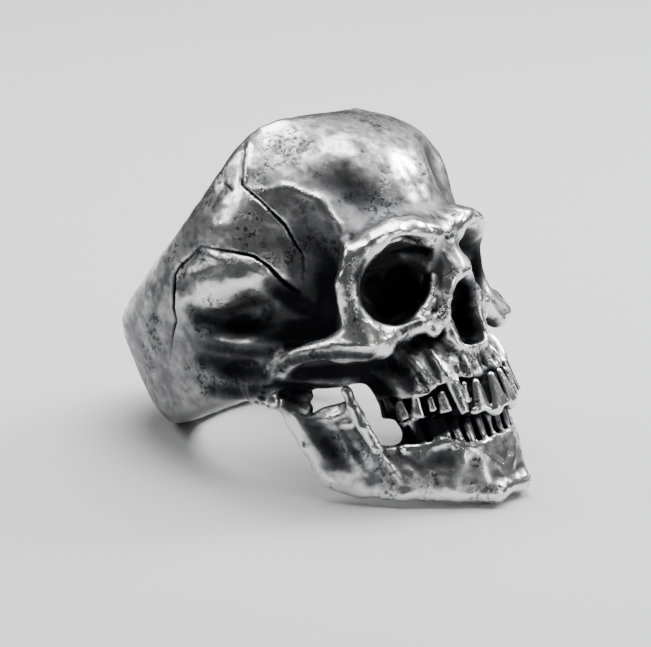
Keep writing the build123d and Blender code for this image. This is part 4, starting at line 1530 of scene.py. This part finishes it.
@dataclass(frozen=True)
class AntiqueSilver:
    """Oxidised silver: black in the recesses, grey on the flanks, polished on the high places, with painted
    shade and painted highlights laid on from the patches.

    Noises are given as lumps to a metre, finer layers and their strength, and ranges as the value
    where the effect starts and the one where it is full.

    Attributes:
        oxide: colour of the blackest recess.
        patina: colour of the grey film.
        silver: colour of the polished metal.
        lumps: noise of the film's lumps.
        clouds: noise of its clouds.
        specks: noise of the pits.
        crowds: noise of the places where pits crowd.
        polish_sunken: range of the sunken share over which the polish comes.
        polish_shut: range of the shut share over which it comes.
        polish_oxide_and_painted_shade: range of the oxide and painted shade over which it comes.
        polish_rubbed_and_painted_highlight: range of the bright patches, bare silver and painted highlights,
            over which it comes all the same.
        band_polish: what is left of it at the back of the band.
        hole_polish: polish of the finger hole's wall.
        black_sunken: range of the sunken share over which black comes.
        black_shut: range of the shut share over which it comes.
        black_oxide_and_painted_shade: range of the oxide and painted shade over which it comes.
        pitted: range of the specks that are pits anywhere.
        eroded: range of the specks that are pits in a crowd.
        crowded: range of the crowds.
        stirring: how far lumps and clouds stir the film's edges.
        stirred: how far the sunken share, the oxide and painted shade, and the bright patches with painted
            highlights follow that.
        roughness: of the film and of the polished metal.
        roughening: how far the lumps and the black change it.
        bump: height of the finest grain, metres.
        bump_shares: how much of it the lumps, the specks and the pits have.
    """

    oxide: Colour = (0.010, 0.010, 0.012, 1.0)
    patina: Colour = (0.11, 0.11, 0.113, 1.0)
    silver: Colour = (0.78, 0.78, 0.77, 1.0)
    lumps: Triple = (650.0, 4.0, 0.6)
    clouds: Triple = (190.0, 3.0, 0.5)
    specks: Triple = (2800.0, 3.0, 0.65)
    crowds: Triple = (330.0, 3.0, 0.6)
    polish_sunken: Range = (0.52, 0.41)
    polish_shut: Range = (0.50, 0.08)
    polish_oxide_and_painted_shade: Range = (0.45, 0.05)
    polish_rubbed_and_painted_highlight: Range = (0.35, 0.75)
    band_polish: float = 0.35
    hole_polish: float = 0.55
    black_sunken: Range = (0.53, 0.62)
    black_shut: Range = (0.42, 0.80)
    black_oxide_and_painted_shade: Range = (0.25, 0.80)
    pitted: Range = (0.66, 0.72)
    eroded: Range = (0.50, 0.58)
    crowded: Range = (0.50, 0.60)
    stirring: tuple[float, float] = (0.45, 0.35)
    stirred: Triple = (0.35, 0.9, 0.5)
    roughness: Range = (0.46, 0.26)
    roughening: tuple[float, float] = (0.18, 0.2)
    bump: float = 0.00008
    bump_shares: Triple = (0.6, 0.25, -0.7)

    def material(self) -> bpy.types.Material:
        """Wires the finish.

        Returns:
            The material.
        """
        wire = Nodes("antique_silver")
        place = wire.add("ShaderNodeTexCoord").outputs["Object"]
        lumps = wire.noise(place, *self.lumps)
        clouds = wire.noise(place, *self.clouds)
        specks = wire.noise(place, *self.specks)
        crowds = wire.noise(place, *self.crowds)
        swing = wire.math("SUBTRACT", lumps, 0.5)
        stir = wire.math("ADD", wire.product(swing, self.stirring[0]),
                         wire.product(wire.math("SUBTRACT", clouds, 0.5), self.stirring[1]))
        sunken = wire.math("ADD", wire.product(wire.mark("fine_recess"), 0.4),
                           wire.product(wire.mark("recess"), 0.6))
        sunken = wire.math("MULTIPLY_ADD", stir, self.stirred[0], sunken)
        shut = wire.left(wire.product(wire.mark("far_open"), wire.mark("near_open")))
        shut = wire.math("ADD", shut, stir)
        # Oxide with painted shade, and bare silver with painted highlights, laid on from the patches.
        oxide_and_painted_shade = wire.math("MULTIPLY_ADD", stir, self.stirred[1], wire.mark("oxide_and_painted_shade"))
        rubbed_and_painted_highlight = wire.math("MULTIPLY_ADD", stir, self.stirred[2], wire.mark("polish_and_painted_highlight"))
        rubbed_and_painted_highlight = wire.ramp(rubbed_and_painted_highlight, *self.polish_rubbed_and_painted_highlight)
        hole = wire.mark("inside")
        polish = wire.product(wire.ramp(sunken, *self.polish_sunken), wire.ramp(shut, *self.polish_shut),
                              wire.ramp(oxide_and_painted_shade, *self.polish_oxide_and_painted_shade),
                              wire.ramp(wire.mark("band"), 0.0, 1.0, 1.0, self.band_polish))
        polish = wire.most(polish, rubbed_and_painted_highlight, wire.product(hole, self.hole_polish))
        black = wire.most(wire.ramp(sunken, *self.black_sunken), wire.ramp(shut, *self.black_shut),
                          wire.ramp(oxide_and_painted_shade, *self.black_oxide_and_painted_shade))
        black = wire.product(black, wire.left(hole))
        eroded = wire.product(wire.ramp(specks, *self.eroded), wire.ramp(crowds, *self.crowded),
                              wire.left(wire.product(rubbed_and_painted_highlight, 0.7)))
        pits = wire.most(wire.product(wire.ramp(specks, *self.pitted), 0.8), eroded)
        pits = wire.product(pits, wire.left(hole))
        colour = wire.blend(polish, self.patina, self.silver)
        colour = wire.blend(black, colour, self.oxide)
        colour = wire.blend(wire.product(pits, 0.8), colour, self.oxide)
        rough = wire.ramp(polish, 0.0, 1.0, *self.roughness)
        rough = wire.math("MULTIPLY_ADD", swing, self.roughening[0], rough)
        rough = wire.math("MULTIPLY_ADD", black, self.roughening[1], rough)
        lump_share, speck_share, pit_share = self.bump_shares
        height = wire.math("MULTIPLY_ADD", lumps, lump_share, wire.product(specks, speck_share))
        height = wire.math("MULTIPLY_ADD", pits, pit_share, height)
        bump = wire.add("ShaderNodeBump", {"Strength": 0.35, "Distance": self.bump, "Height": height})
        return wire.surface({"Base Color": colour, "Metallic": 1.0, "Roughness": rough,
                             "Normal": bump.outputs["Normal"]})


@dataclass(frozen=True)
class PaleFloor:
    """A plain, matt, pale floor.

    Attributes:
        colour: its colour.
        roughness: its roughness.
    """

    colour: Colour = (0.62, 0.62, 0.63, 1.0)
    roughness: float = 0.7

    def material(self) -> bpy.types.Material:
        """The finish as a material."""
        return Nodes("pale_floor").surface({"Base Color": self.colour, "Roughness": self.roughness})


@dataclass(frozen=True)
class Lamp:
    """A soft lamp.

    Attributes:
        name: its name.
        spot: its place, metres.
        size: its width, metres.
        power: its power, watts.
    """

    name: str
    spot: Triple
    size: float
    power: float

    def hang(self, aim: Triple) -> None:
        """Hangs the lamp.

        Args:
            aim: what it looks at, metres.
        """
        data = bpy.data.lights.new(self.name, "AREA")
        data.size = self.size
        data.energy = self.power
        lamp = bpy.data.objects.new(self.name, data)
        lamp.location = self.spot
        lamp.rotation_euler = (Vector(aim) - Vector(self.spot)).to_track_quat("-Z", "Y").to_euler()
        bpy.context.scene.collection.objects.link(lamp)


@dataclass
class Studio:
    """The floor, the lights and the camera.

    Attributes:
        ring: the ring's frame.
        sight: the photograph's view.
        floor_size: half the floor's width, metres.
        sensor: width of the camera's sensor, mm.
        aim: what the lamps look at, metres.
        lamps: the lamps.
        sky: colour of the faint light from all round.
        sky_strength: its strength.
    """

    ring: RingFrame
    sight: Sight
    floor_size: float = 3.0
    sensor: float = 36.0
    aim: Triple = (0.0, 0.0, 0.014)
    lamps: tuple[Lamp, ...] = (
        Lamp("overhead", (0.05, 0.03, 0.24), 0.22, 1.5),
        Lamp("key", (0.21, -0.07, 0.17), 0.08, 0.75),
        Lamp("front_fill", (0.04, -0.33, 0.11), 0.14, 0.32),
        Lamp("rear_fill", (-0.13, 0.20, 0.21), 0.12, 0.35),
    )
    sky: Colour = (0.55, 0.56, 0.58, 1.0)
    sky_strength: float = 0.10

    def floor(self) -> None:
        """Lays a plain pale floor."""
        form = bmesh.new()
        bmesh.ops.create_grid(form, x_segments=1, y_segments=1, size=self.floor_size)
        mesh = bpy.data.meshes.new("floor")
        form.to_mesh(mesh)
        form.free()
        floor = bpy.data.objects.new("floor", mesh)
        bpy.context.scene.collection.objects.link(floor)
        mesh.materials.append(PaleFloor().material())

    def camera(self) -> None:
        """Sets the camera where the photograph was taken from."""
        eye = self.ring.outward(self.sight.eye())
        right, up, back = (np.array(way) @ self.ring.turn
                           for way in (self.sight.right, self.sight.up, self.sight.towards()))
        turn = Matrix((right, up, back)).transposed().to_4x4()
        data = bpy.data.cameras.new("camera")
        data.sensor_width = self.sensor
        data.lens = self.sensor * self.sight.distance * self.sight.scale / PICTURE[0]
        data.clip_start = 0.01
        data.clip_end = 20.0
        camera = bpy.data.objects.new("camera", data)
        camera.matrix_world = Matrix.Translation(Vector(eye)) @ turn
        bpy.context.scene.collection.objects.link(camera)
        bpy.context.scene.camera = camera

    def lights(self) -> None:
        """Lights the ring softly from above."""
        for lamp in self.lamps:
            lamp.hang(self.aim)
        world = bpy.data.worlds.new("studio")
        world.use_nodes = True
        background = world.node_tree.nodes["Background"]
        background.inputs["Color"].default_value = self.sky
        background.inputs["Strength"].default_value = self.sky_strength
        bpy.context.scene.world = world

    def build(self) -> None:
        """Sets up the whole studio."""
        self.floor()
        self.camera()
        self.lights()


def main() -> None:
    """Builds the ring and the studio, and notes the sizes."""
    logging.basicConfig(level=logging.INFO, format="%(message)s")
    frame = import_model()
    ring = RingFrame.of_record(frame["record"])
    sight = Sight()
    piece = Casting(ring, sight).build(frame["nodes"]["skull_ring"])
    LOG.info("%s: %d triangles", piece.name, sum(len(face.vertices) - 2 for face in piece.data.polygons))
    Studio(ring, sight).build()


if __name__ == "__main__":
    main()
